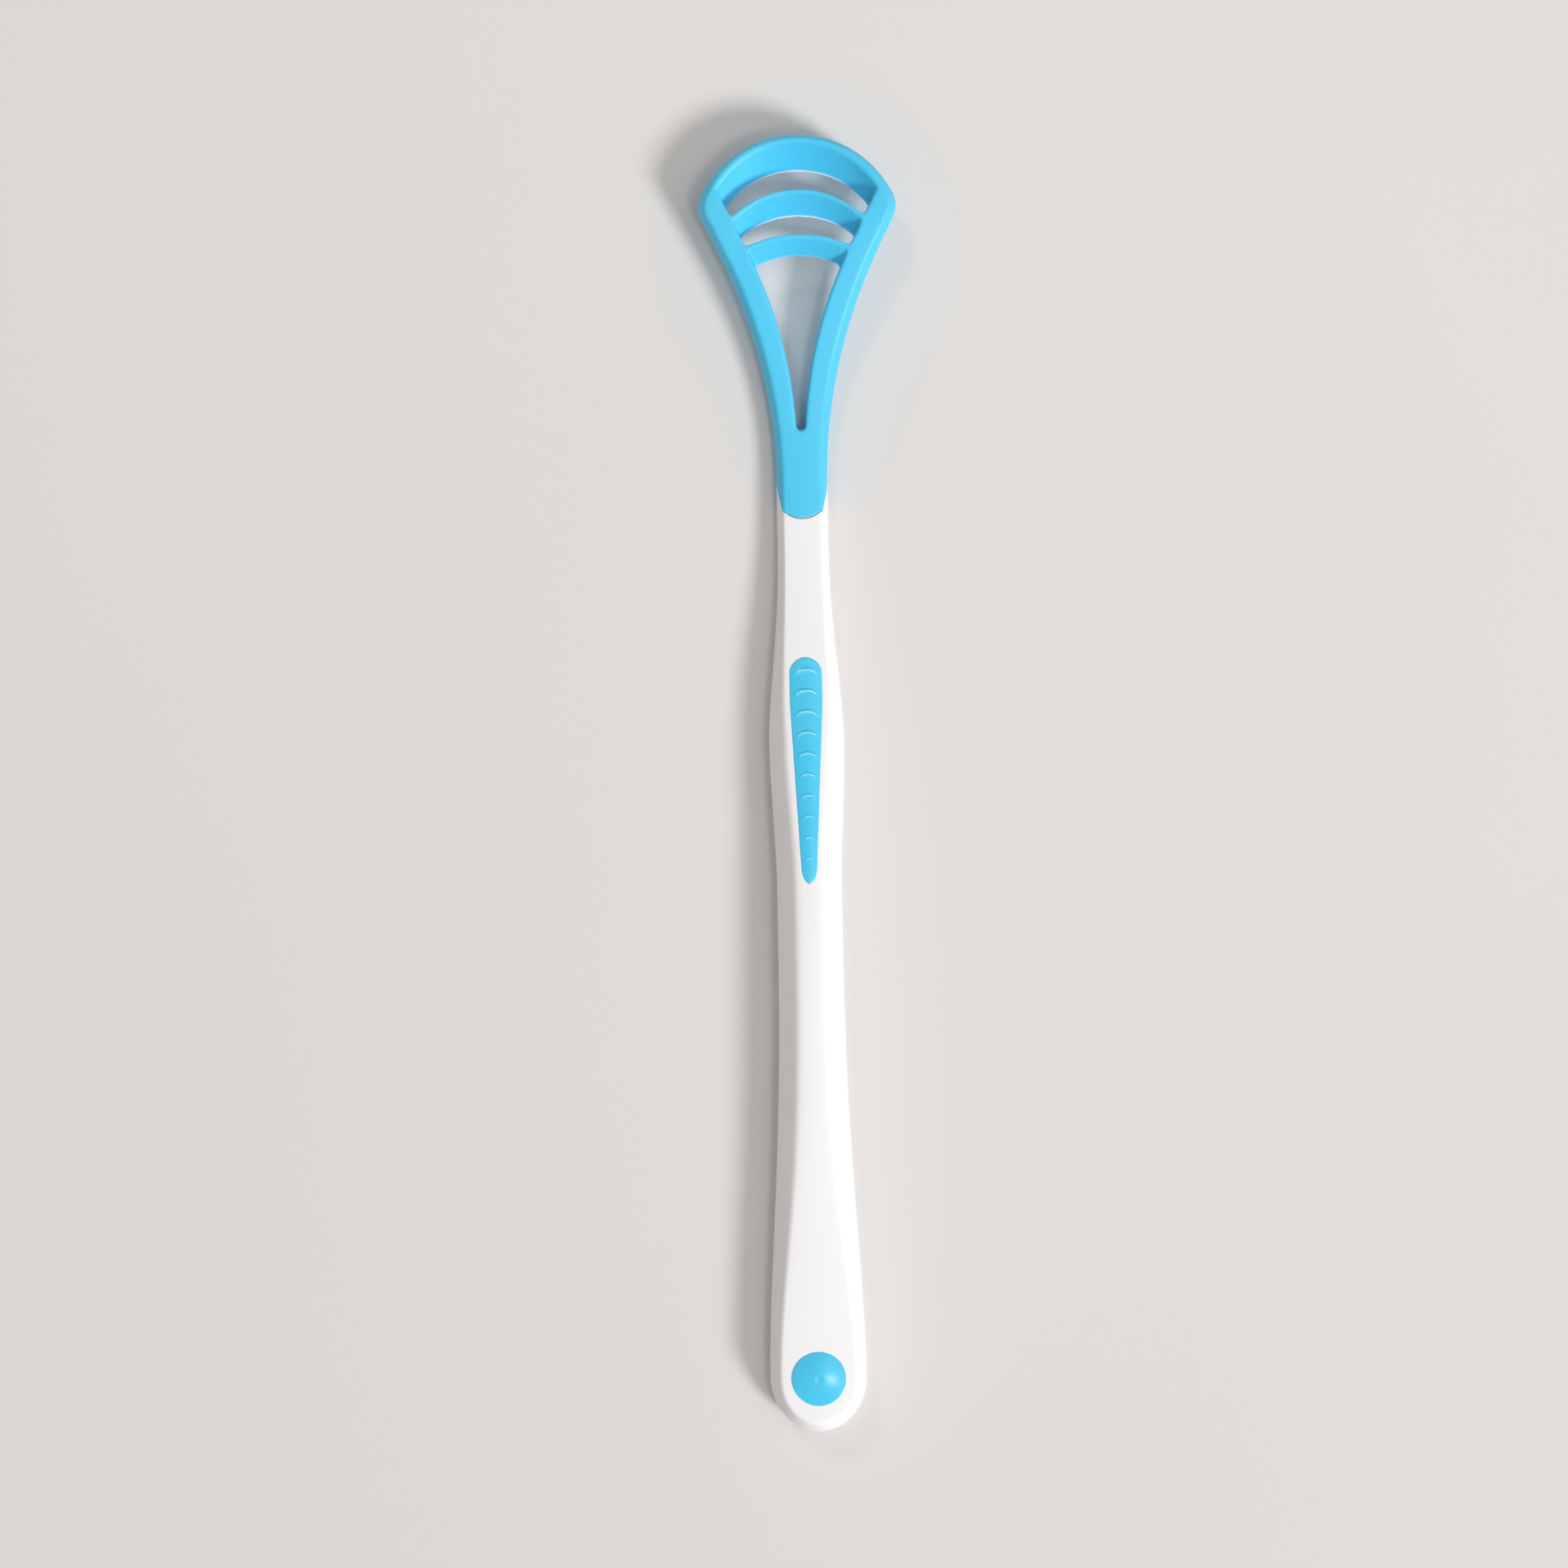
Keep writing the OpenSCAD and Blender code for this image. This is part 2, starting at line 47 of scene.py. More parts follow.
MM = 0.001
HAIR = 1e-7
NEAR_HALF = 0.48
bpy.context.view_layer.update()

Point = tuple[float, float, float]
Ring = list[Point]
Colour = tuple[float, float, float]
Way = Callable[[float], Point]
Inputs = dict[str | int, object]
PLAIN = (1, 1, 1, 1)


class Axis(Enum):
    """Axis that a pattern is drawn out along, as its index."""

    X = 0
    Y = 1


# Plain curves between places. All lengths up to the meshes are millimetres.


def mix(start: float, end: float, share: float) -> float:
    """Return the value at a share of the way from start to end."""
    return start + (end - start) * share


def clamp(value: float) -> float:
    """Return the value, held between 0 and 1."""
    return min(max(value, 0.0), 1.0)


def along(y: float, start: float, end: float, lag: float = 1.0) -> float:
    """Return how far y is on an eased way.

    Args:
        y: Place on the long axis.
        start: Place where the change begins.
        end: Place where the change is complete.
        lag: 1 for an even change, more for a later one.

    Returns:
        A share from 0 to 1 that starts and ends level.
    """
    share = clamp((y - start) / (end - start)) ** lag
    return share * share * (3 - 2 * share)


def arc_y(x: float, top: float, radius: float) -> float:
    """Return y on an upright arc with its highest point at top."""
    return top - radius + math.sqrt(max(radius * radius - x * x, 0.0))


def rounded_corner(before: Point, corner: Point, after: Point, reach: float, steps: int) -> Ring:
    """Round a corner.

    Args:
        before: Point that the line comes from.
        corner: The sharp corner.
        after: Point that the line goes to.
        reach: Distance from the corner to where the rounding starts and ends.
        steps: Number of spans of the rounding.

    Returns:
        Points on the rounding, from the first line to the second.
    """
    middle = Vector(corner)
    back = Vector(before) - middle
    ahead = Vector(after) - middle
    first = middle + back.normalized() * min(reach, back.length * NEAR_HALF)
    last = middle + ahead.normalized() * min(reach, ahead.length * NEAR_HALF)
    points: Ring = []
    for step in range(steps + 1):
        share = step / steps
        spot = first * (1 - share) ** 2 + middle * (2 * share * (1 - share)) + last * share ** 2
        points.append(tuple(spot))
    return points


def arc(x: float, y: float, radius: float, start: float, end: float, turned: float = 0.0) -> Way:
    """Return an arc as a way.

    Args:
        x: Place of the centre, from the long axis.
        y: Place of the centre, along the long axis.
        radius: Radius, less than 0 for an arc on the other side of its centre.
        start: Angle where the way begins.
        end: Angle where the way ends.
        turned: Angle between the arc's radius and the direction that each point carries.

    Returns:
        A way that gives x, y and the direction at a share.
    """

    def at(share: float) -> Point:
        """Return the point and its direction at a share of the way."""
        angle = mix(start, end, share)
        return x + radius * math.cos(angle), y + radius * math.sin(angle), angle + turned

    return at


def line(start: Point, end: Point) -> Way:
    """Return a straight line as a way."""
    return lambda share: tuple(mix(one, other, share) for one, other in zip(start, end))


def between(start: Point, end: Point, count: int) -> Ring:
    """Return evenly spaced points between two points, without these two."""
    return [tuple(Vector(start).lerp(Vector(end), step / (count + 1))) for step in range(1, count + 1)]


@dataclass
class Skin:
    """Outer skin that the handle and the head share.

    The stations are shares of the handle's length: where it is thickest and narrowest, the swell
    under the thumb, and where the neck gets its even width.
    """

    handle_l: float = 121.2
    head_l: float = 50.8
    butt_w: float = 12.8
    butt_end_l: float = 7.4
    waist_w: float = 8.6
    swell_w: float = 10.0
    neck_w: float = 6.8
    butt_t: float = 6.5
    back_t: float = 7.7
    neck_t: float = 3.2
    neck_lift: float = 0.35
    top_arch: float = 0.15
    neck_arch: float = 0.08
    butt_edge: float = 1.3
    waist_edge: float = 2.3
    swell_edge: float = 2.0
    neck_edge: float = 0.85
    rim_edge: float = 0.5
    head_w: float = 26.2
    crown_h: float = 9.5
    corner_r: float = 3.6
    flank_lean: float = math.radians(26)
    flare_r: float = 68.0
    arm_w: float = 3.55
    head_lift: float = 3.6
    rim_w: float = 1.2
    shoulder: float = 0.42
    belly_r: float = 0.3
    tongue_r: float = 3.65
    tongue_w: float = 4.8
    cheek_l: float = 5.0
    sole_edge: float = 0.357
    inward: float = 1.7
    foot_steps: int = 5
    belly_steps: int = 4
    shoulder_steps: int = 9
    stations: tuple[float, float, float, float] = (0.4, 0.593, 0.76, 0.965)

    def __post_init__(self) -> None:
        """Work out the places and radii that follow from the sizes."""
        across, up = math.cos(self.flank_lean), math.sin(self.flank_lean)
        self.tip_y = (self.handle_l + self.head_l) / 2
        self.butt_y = -self.tip_y
        self.tongue_y = self.butt_y + self.handle_l
        self.wide_y = self.butt_y + self.butt_end_l
        self.back_y, self.waist_y, self.swell_y, self.neck_y = (
            self.butt_y + share * self.handle_l for share in self.stations)
        self.corner_x = self.head_w / 2 - self.corner_r
        self.corner_y = self.tip_y - self.crown_h
        self.crown_r = ((self.corner_x ** 2 + self.crown_h ** 2 - self.corner_r ** 2)
                        / (2 * (self.crown_h - self.corner_r)))
        self.crown_y = self.tip_y - self.crown_r
        self.crown_turn = math.atan2(self.corner_y - self.crown_y, self.corner_x)
        self.flank_x = self.corner_x + self.corner_r * across
        self.flank_y = self.corner_y - self.corner_r * up
        hollow = self.flare_r * (1 - across)
        flank_l = (self.flank_x - self.neck_w / 2 - hollow) / up
        self.flare_x = self.neck_w / 2 + self.flare_r
        self.flare_y = self.flank_y - flank_l * across - self.flare_r * up
        self.fork_top_y = self.flare_y + self.flare_r * up

    def half_w(self, y: float) -> float:
        """Return half the width of the handle and the neck."""
        if y > self.flare_y:
            return self.flare_x - math.sqrt(self.flare_r ** 2 - (y - self.flare_y) ** 2)
        if y < self.waist_y:
            return mix(self.waist_w, self.butt_w, along(y, self.waist_y, self.wide_y, 1.6)) / 2
        if y < self.swell_y:
            return mix(self.waist_w, self.swell_w, along(y, self.waist_y, self.swell_y)) / 2
        return mix(self.swell_w, self.neck_w, along(y, self.swell_y, self.neck_y, 0.8)) / 2

    def edge_w(self, y: float) -> float:
        """Return the width of the slanting edge, seen from above."""
        if y < self.back_y:
            return mix(self.waist_edge, self.butt_edge, along(y, self.back_y, self.wide_y, 1.3))
        if y < self.waist_y:
            return self.waist_edge
        if y < self.swell_y:
            return mix(self.waist_edge, self.swell_edge, along(y, self.waist_y, self.swell_y))
        if y < self.neck_y:
            return mix(self.swell_edge, self.neck_edge, along(y, self.swell_y, self.neck_y, 0.55))
        return mix(self.neck_edge, self.rim_edge, along(y, self.corner_y, self.tip_y))

    def under_edge(self, y: float, rim_lean: float = 3.745) -> float:
        """Return the width of the slanting edge on the underside."""
        if y < self.neck_y:
            return self.edge_w(y)
        return mix(self.neck_edge, rim_lean, along(y, self.corner_y, self.tip_y))

    def lift(self, y: float) -> float:
        """Return how far the head has risen."""
        return self.head_lift * along(y, self.flare_y, self.corner_y, 1.3)

    def face_z(self, y: float) -> float:
        """Return the height of the face."""
        if y < self.back_y:
            return mix(self.back_t, self.butt_t, along(y, self.back_y, self.wide_y))
        neck_z = self.neck_lift + self.neck_t
        return mix(self.back_t, neck_z, along(y, self.back_y, self.flare_y, 1.5)) + self.lift(y)

    def under_z(self, y: float) -> float:
        """Return the height of the underside."""
        return self.neck_lift * along(y, self.swell_y, self.flare_y, 0.6) + self.lift(y)

    def flat_half(self, y: float) -> float:
        """Return half the width of the arched top, between the slanting edges."""
        edge = self.edge_w(y)
        if y < self.wide_y:
            share = min((self.wide_y - y) / (self.butt_end_l - edge), 1.0)
            return (self.butt_w / 2 - edge) * math.sqrt(1 - share ** 2)
        if y < self.fork_top_y:
            return self.half_w(y) - edge
        if y < self.flank_y:
            return self.flank_x + (y - self.flank_y) * math.tan(self.flank_lean) - edge
        if y < self.corner_y + self.corner_r * math.sin(self.crown_turn):
            return self.corner_x + math.sqrt((self.corner_r - edge) ** 2 - (y - self.corner_y) ** 2)
        return math.sqrt(max((self.crown_r - edge) ** 2 - (y - self.crown_y) ** 2, 0.0))

    def skin_z(self, x: float, y: float) -> float:
        """Return the height of the arched top at x and y."""
        width = self.flat_half(y)
        if width <= 0:
            return self.face_z(y)
        high = mix(self.top_arch, self.neck_arch, along(y, self.swell_y, self.neck_y))
        full = min(width / (self.neck_w / 2 - self.neck_edge), 1.0)
        return self.face_z(y) + high * full * max(1 - (x / width) ** 2, 0.0)

    def side(self, x: float, y: float, direction: float) -> Ring:
        """Return the side's curve at a place on the outline.

        Args:
            x: Place on the outline, from the long axis.
            y: Place on the outline, along the long axis.
            direction: Direction of the outline's normal.

        Returns:
            Points from the underside, round the outline and over the soft shoulder to the top.
        """

        def at(inset: float, level: float) -> Point:
            """Return the point at an inset, from the underside (-1) to the face (1)."""
            px = x - inset * math.cos(direction)
            py = y - inset * math.sin(direction)
            middle = (self.face_z(py) + self.under_z(py)) / 2
            half = (self.face_z(py) - self.under_z(py)) / 2
            return px, py, middle + half * level

        over, under = self.edge_w(y), self.under_edge(y)
        foot, rim = at(under, -1), at(over, 1)
        slope = over / math.hypot(over, (self.face_z(y) - self.under_z(y)) / 2)
        belly = at(-0.5 * self.belly_r * slope, 0)
        inward = at(over * self.inward, 1)
        inward = (inward[0], inward[1], self.skin_z(inward[0], inward[1]))
        sole = self.shoulder * under if y < self.neck_y else min(self.shoulder * under, self.sole_edge)
        return [*rounded_corner(at(under * self.inward, -1), foot, belly, sole, self.foot_steps),
                *rounded_corner(foot, belly, rim, self.belly_r, self.belly_steps),
                *rounded_corner(belly, rim, inward, self.shoulder * over, self.shoulder_steps)]

    def drawn_in(self, ring: Ring, groove: float, shift: float) -> Ring:
        """Return a section of the neck that is drawn in by a groove and shifted along."""
        drawn: Ring = []
        for x, y, z in ring:
            middle = (self.face_z(y) + self.under_z(y)) / 2
            drawn.append((x * (1 - groove / (self.neck_w / 2)), y + shift,
                          middle + (z - middle) * (1 - groove / (self.neck_t / 2))))
        return drawn

    def seam_y(self, x: float) -> float:
        """Return the place of the seam between handle and head."""
        across = abs(x)
        if across < self.tongue_w / 2:
            return self.tongue_y + self.tongue_r - math.sqrt(self.tongue_r ** 2 - across ** 2)
        cheek_y = self.tongue_y + self.tongue_r - math.sqrt(self.tongue_r ** 2 - self.tongue_w ** 2 / 4)
        cheek_w = self.neck_w / 2 - self.tongue_w / 2 + 0.02
        share = clamp((across - self.tongue_w / 2) / cheek_w)
        return cheek_y + self.cheek_l * (1 - math.sqrt(1 - share ** 2))


SKIN = Skin()


# Work in edit mode.


def only(piece: bpy.types.Object | None = None) -> None:
    """Leave edit mode and select one object alone, or nothing before a primitive is added."""
    if bpy.context.object and bpy.context.object.mode != "OBJECT":
        bpy.ops.object.mode_set(mode="OBJECT")
    bpy.ops.object.select_all(action="DESELECT")
    if piece is not None:
        piece.select_set(True)
        bpy.context.view_layer.objects.active = piece


def edit_all(kind: str = "VERT") -> None:
    """Enter edit mode and select everything, as vertices, edges or faces."""
    bpy.ops.object.mode_set(mode="EDIT")
    bpy.ops.mesh.select_mode(type=kind)
    bpy.ops.mesh.select_all(action="SELECT")


def turn_out() -> None:
    """Turn all faces of the mesh in edit mode outwards, and leave edit mode."""
    bpy.ops.mesh.select_all(action="SELECT")
    bpy.ops.mesh.normals_make_consistent(inside=False)
    bpy.ops.object.mode_set(mode="OBJECT")


def set_ring(piece: bpy.types.Object, ring: Sequence[Point]) -> None:
    """Move the selected ring of vertices to its section, in the order of their places."""
    mesh = bmesh.from_edit_mesh(piece.data)
    place = mesh.verts.layers.int["place"]
    for vertex in mesh.verts:
        if vertex.select:
            vertex.co = Vector(ring[vertex[place]]) * MM
    bmesh.update_edit_mesh(piece.data)


def grow_tube(name: str, rings: Sequence[Ring], closed: bool = True) -> bpy.types.Object:
    """Grow a tube from a circle, one extruded ring after another.

    Args:
        name: Name of the new object.
        rings: Sections with the same number of points each. A face closes the first one.
        closed: Whether a face closes the last one too.

    Returns:
        The tube, with its normals outwards.
    """
    only()
    count = len(rings[0])
    bpy.ops.mesh.primitive_circle_add(vertices=count, radius=MM, fill_type="NOTHING")
    tube = bpy.context.active_object
    tube.name = name
    edit_all()
    mesh = bmesh.from_edit_mesh(tube.data)
    place = mesh.verts.layers.int.new("place")
    for vertex in mesh.verts:
        vertex[place] = vertex.index
    set_ring(tube, rings[0])
    for ring in rings[1:]:
        bpy.ops.mesh.extrude_region_move(TRANSFORM_OT_translate={"value": (0, 0, 0)})
        set_ring(tube, ring)
    last = count * (len(rings) - 1)
    for start in (last, 0) if closed else (0,):
        bpy.ops.mesh.select_all(action="DESELECT")
        mesh = bmesh.from_edit_mesh(tube.data)
        for vertex in mesh.verts:
            vertex.select_set(start <= vertex.index < start + count)
        mesh.select_flush(True)
        bmesh.update_edit_mesh(tube.data)
        bpy.ops.mesh.edge_face_add()
    bpy.ops.mesh.select_all(action="SELECT")
    bpy.ops.mesh.remove_doubles(threshold=HAIR)
    turn_out()
    return tube


def apply_modifier(piece: bpy.types.Object, kind: str, **values: object) -> None:
    """Add a modifier with these values and apply it."""
    only(piece)
    modifier = piece.modifiers.new(kind.lower(), kind)
    for key, value in values.items():
        setattr(modifier, key, value)
    bpy.ops.object.modifier_apply(modifier=modifier.name)


def smooth(piece: bpy.types.Object, degrees: float) -> None:
    """Shade an object smooth, up to an angle between faces."""
    only(piece)
    bpy.ops.object.shade_smooth_by_angle(angle=math.radians(degrees))


def join(pieces: Sequence[bpy.types.Object], name: str) -> bpy.types.Object:
    """Join objects into the first one and name it."""
    only(pieces[0])
    for piece in pieces:
        piece.select_set(True)
    bpy.ops.object.join()
    pieces[0].name = name
    return pieces[0]


# Effects that several materials share.


class Wiring:
    """Nodes and links of one shader tree."""

    def __init__(self, tree: bpy.types.ShaderNodeTree) -> None:
        """Take over a tree."""
        self.tree = tree

    def feed(self, node: bpy.types.Node, inputs: Inputs) -> None:
        """Link a socket or set a value for each of these inputs, by name or number."""
        for key, value in inputs.items():
            if isinstance(value, bpy.types.NodeSocket):
                self.tree.links.new(value, node.inputs[key])
            else:
                node.inputs[key].default_value = value

    def node(self, kind: str, inputs: Inputs, **settings: object) -> bpy.types.Node:
        """Add a node.

        Args:
            kind: Type of the node, without its prefix.
            inputs: The socket to link or the value to set for each input.
            settings: Properties of the node.

        Returns:
            The new node.
        """
        made = self.tree.nodes.new("ShaderNode" + kind)
        for key, value in settings.items():
            setattr(made, key, value)
        self.feed(made, inputs)
        return made

    def maths(self, operation: str, *values: bpy.types.NodeSocket | float,
              clamped: bool = False) -> bpy.types.NodeSocket:
        """Combine sockets and numbers by one operation."""
        made = self.node("Math", dict(enumerate(values)), operation=operation, use_clamp=clamped)
        return made.outputs[0]

    def blend(self, share: bpy.types.NodeSocket, first: object, second: object) -> bpy.types.NodeSocket:
        """Blend the first colour into the second."""
        made = self.node("Mix", {"Factor": share, "A": first, "B": second}, data_type="RGBA")
        return made.outputs["Result"]


class EffectGroup(Wiring):
    """Shader node group with a vector, other named inputs and named outputs, built once."""

    def __init__(self, name: str, inputs: Inputs, outputs: dict[str, str]) -> None:
        """Start a group with the inputs' defaults and the outputs' types."""
        super().__init__(bpy.data.node_groups.new(name, "ShaderNodeTree"))
        sockets = self.tree.interface
        sockets.new_socket(name="Vector", in_out="INPUT", socket_type="NodeSocketVector")
        for key, value in inputs.items():
            kind = "NodeSocketFloat" if isinstance(value, float) else "NodeSocketColor"
            sockets.new_socket(name=key, in_out="INPUT", socket_type=kind).default_value = value
        for key, kind in outputs.items():
            sockets.new_socket(name=key, in_out="OUTPUT", socket_type="NodeSocket" + kind)
        self.inlet = self.tree.nodes.new("NodeGroupInput").outputs
        self.exit = self.tree.nodes.new("NodeGroupOutput")


class Surface(Wiring):
    """New material, patterned in Object coordinates."""

    def __init__(self, name: str) -> None:
        """Start a material with its shader and its coordinates."""
        self.material = bpy.data.materials.new(name)
        self.material.use_nodes = True
        super().__init__(self.material.node_tree)
        self.shader = self.tree.nodes["Principled BSDF"]
        self.where = self.node("TexCoord", {}).outputs["Object"]


def moulded_grain() -> bpy.types.ShaderNodeTree:
    """Build the effect of a mould's fine grain: a height and a change of roughness."""
    group = EffectGroup("moulded_grain", {
        "Grain Scale": 2600.0, "Wave Scale": 160.0, "Base Roughness": 0.35, "Roughness Change": 0.06,
    }, {"Height": "Float", "Roughness": "Float"})
    inlet, maths = group.inlet, group.maths

    def noise(scale: str, detail: float) -> bpy.types.NodeSocket:
        """Add a noise at one of the group's scales."""
        return group.node("TexNoise", {
            "Vector": inlet["Vector"], "Scale": inlet[scale], "Detail": detail}).outputs["Fac"]

    grain, wave = noise("Grain Scale", 4.0), noise("Wave Scale", 2.0)
    group.feed(group.exit, {
        "Height": maths("MULTIPLY_ADD", grain, 0.35, wave),
        "Roughness": maths("MULTIPLY_ADD", maths("SUBTRACT", wave, 0.5), inlet["Roughness Change"],
                           inlet["Base Roughness"]),
    })
    return group.tree


def melt_mottle() -> bpy.types.ShaderNodeTree:
    """Build the effect of unevenly mixed pigment: one colour that drifts into another."""
    group = EffectGroup("melt_mottle", {
        "Scale": 60.0, "Light Colour": PLAIN, "Deep Colour": PLAIN,
    }, {"Colour": "Color"})
    inlet = group.inlet
    noise = group.node("TexNoise", {
        "Vector": inlet["Vector"], "Scale": inlet["Scale"], "Detail": 3.0, "Distortion": 0.6})
    spread = group.node("MapRange", {"Value": noise.outputs["Fac"], "From Min": 0.3, "From Max": 0.7})
    drift = group.blend(spread.outputs["Result"], inlet["Deep Colour"], inlet["Light Colour"])
    group.feed(group.exit, {"Colour": drift})
    return group.tree


def lip_shine() -> bpy.types.ShaderNodeTree:
    """Build the effect of a bright edge: a pale line painted along an arc at one height."""
    sizes = dict.fromkeys(("Centre", "Radius", "Height", "Half Width", "Reach", "Strength"), 0.0)
    group = EffectGroup("lip_shine", {"Colour": PLAIN, "Shine Colour": PLAIN} | sizes, {"Colour": "Color"})
    inlet, maths = group.inlet, group.maths

    def falling(value: bpy.types.NodeSocket, full: float,
                limit: bpy.types.NodeSocket) -> bpy.types.NodeSocket:
        """Fall from 1 at a share of the limit to 0 at the limit."""
        return group.node("MapRange", {
            "Value": value, "From Min": maths("MULTIPLY", limit, full), "From Max": limit,
            "To Min": 1.0, "To Max": 0.0}, interpolation_type="SMOOTHSTEP").outputs["Result"]

    def away(value: bpy.types.NodeSocket, target: str) -> bpy.types.NodeSocket:
        """Return how far a value is from an input of the group."""
        return maths("ABSOLUTE", maths("SUBTRACT", value, inlet[target]), 0.0)

    split = group.node("SeparateXYZ", {0: inlet["Vector"]}).outputs
    ahead = maths("MAXIMUM", maths("SUBTRACT", split["Y"], inlet["Centre"]), 0.0)
    flat = group.node("CombineXYZ", {"X": split["X"], "Y": ahead}).outputs["Vector"]
    radius = group.node("VectorMath", {0: flat}, operation="LENGTH").outputs["Value"]
    line_share = falling(away(radius, "Radius"), 0.3, inlet["Half Width"])
    level_share = falling(away(split["Z"], "Height"), 0.5, maths("MULTIPLY", inlet["Half Width"], 4.0))
    side_share = falling(maths("ABSOLUTE", split["X"], 0.0), 0.5, inlet["Reach"])
    mask = maths("MULTIPLY", maths("MULTIPLY", line_share, level_share), side_share)
    share = maths("MULTIPLY", mask, inlet["Strength"])
    group.feed(group.exit, {"Colour": group.blend(share, inlet["Colour"], inlet["Shine Colour"])})
    return group.tree


@dataclass(frozen=True)
class MouldedFinish:
    """Moulded plastic or elastomer: pigment, gloss and the grain of the mould."""

    name: str
    light: Colour
    deep: Colour
    roughness: float
    roughness_change: float
    grain_scale: float
    grain_height: float
    stretch: Axis
    ior: float = 1.49
    draw: float = 0.35
    wave_scale: float = 170.0
    mottle_scale: float = 90.0

    def material(self, grain: bpy.types.ShaderNodeTree,
                 mottle: bpy.types.ShaderNodeTree) -> bpy.types.Material:
        """Build the material.

        Args:
            grain: The shared moulded_grain group.
            mottle: The shared melt_mottle group.

        Returns:
            A material whose patterns follow Object coordinates.
        """
        made = Surface(self.name)
        scale = [1.0, 1.0, 1.0]
        scale[self.stretch.value] = self.draw
        drawn = made.node("Mapping", {"Vector": made.where, "Scale": scale})
        colour = made.node("Group", {
            "Vector": drawn.outputs["Vector"], "Scale": self.mottle_scale,
            "Light Colour": (*self.light, 1), "Deep Colour": (*self.deep, 1)}, node_tree=mottle)
        surface = made.node("Group", {
            "Vector": made.where, "Grain Scale": self.grain_scale, "Wave Scale": self.wave_scale,
            "Base Roughness": self.roughness, "Roughness Change": self.roughness_change}, node_tree=grain)
        bump = made.node("Bump", {
            "Strength": 1.0, "Distance": self.grain_height * MM, "Height": surface.outputs["Height"]})
        made.feed(made.shader, {
            "IOR": self.ior, "Base Color": colour.outputs["Colour"],
            "Roughness": surface.outputs["Roughness"], "Normal": bump.outputs["Normal"]})
        return made.material


WHITE_FINISH = MouldedFinish(
    name="white_satin_moulding", light=(0.93, 0.925, 0.94), deep=(0.915, 0.91, 0.923),
    roughness=0.56, roughness_change=0.1, grain_scale=2600.0, grain_height=0.008, stretch=Axis.Y, ior=1.36)
BLUE_FINISH = MouldedFinish(
    name="blue_satin_moulding", light=(0.086, 0.635, 0.945), deep=(0.065, 0.588, 0.92),
    roughness=0.42, roughness_change=0.12, grain_scale=2200.0, grain_height=0.012, stretch=Axis.Y)
GRIP_FINISH = MouldedFinish(
    name="blue_soft_grip", light=(0.079, 0.635, 0.94), deep=(0.063, 0.598, 0.92),
    roughness=0.23, roughness_change=0.06, grain_scale=3200.0, grain_height=0.008, stretch=Axis.X)
# Painted highlight: a paler blue for the ridges' crests stands for glints; only its lower roughness is a
# real gloss.
CREST_GLINT_PAINT = MouldedFinish(
    name="blue_painted_glint_crest", light=(0.3, 0.8, 0.97), deep=(0.22, 0.76, 0.95),
    roughness=0.16, roughness_change=0.04, grain_scale=3200.0, grain_height=0.004, stretch=Axis.X)


@dataclass
class Moulding:
    """One moulded piece that stands for a node of the frame."""

    node: str
    slot: str
    finish: bpy.types.Material

    def settle(self, piece: bpy.types.Object, degrees: float) -> bpy.types.Object:
        """Shade, dress and fix a finished piece to the frame.

        Args:
            piece: The modelled object.
            degrees: Largest angle between faces that is shaded smooth.

        Returns:
            The same object.
        """
        smooth(piece, degrees)
        piece.data.materials.clear()
        piece.data.materials.append(self.finish)
        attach(piece, "root")
        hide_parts(self.node)
        return piece


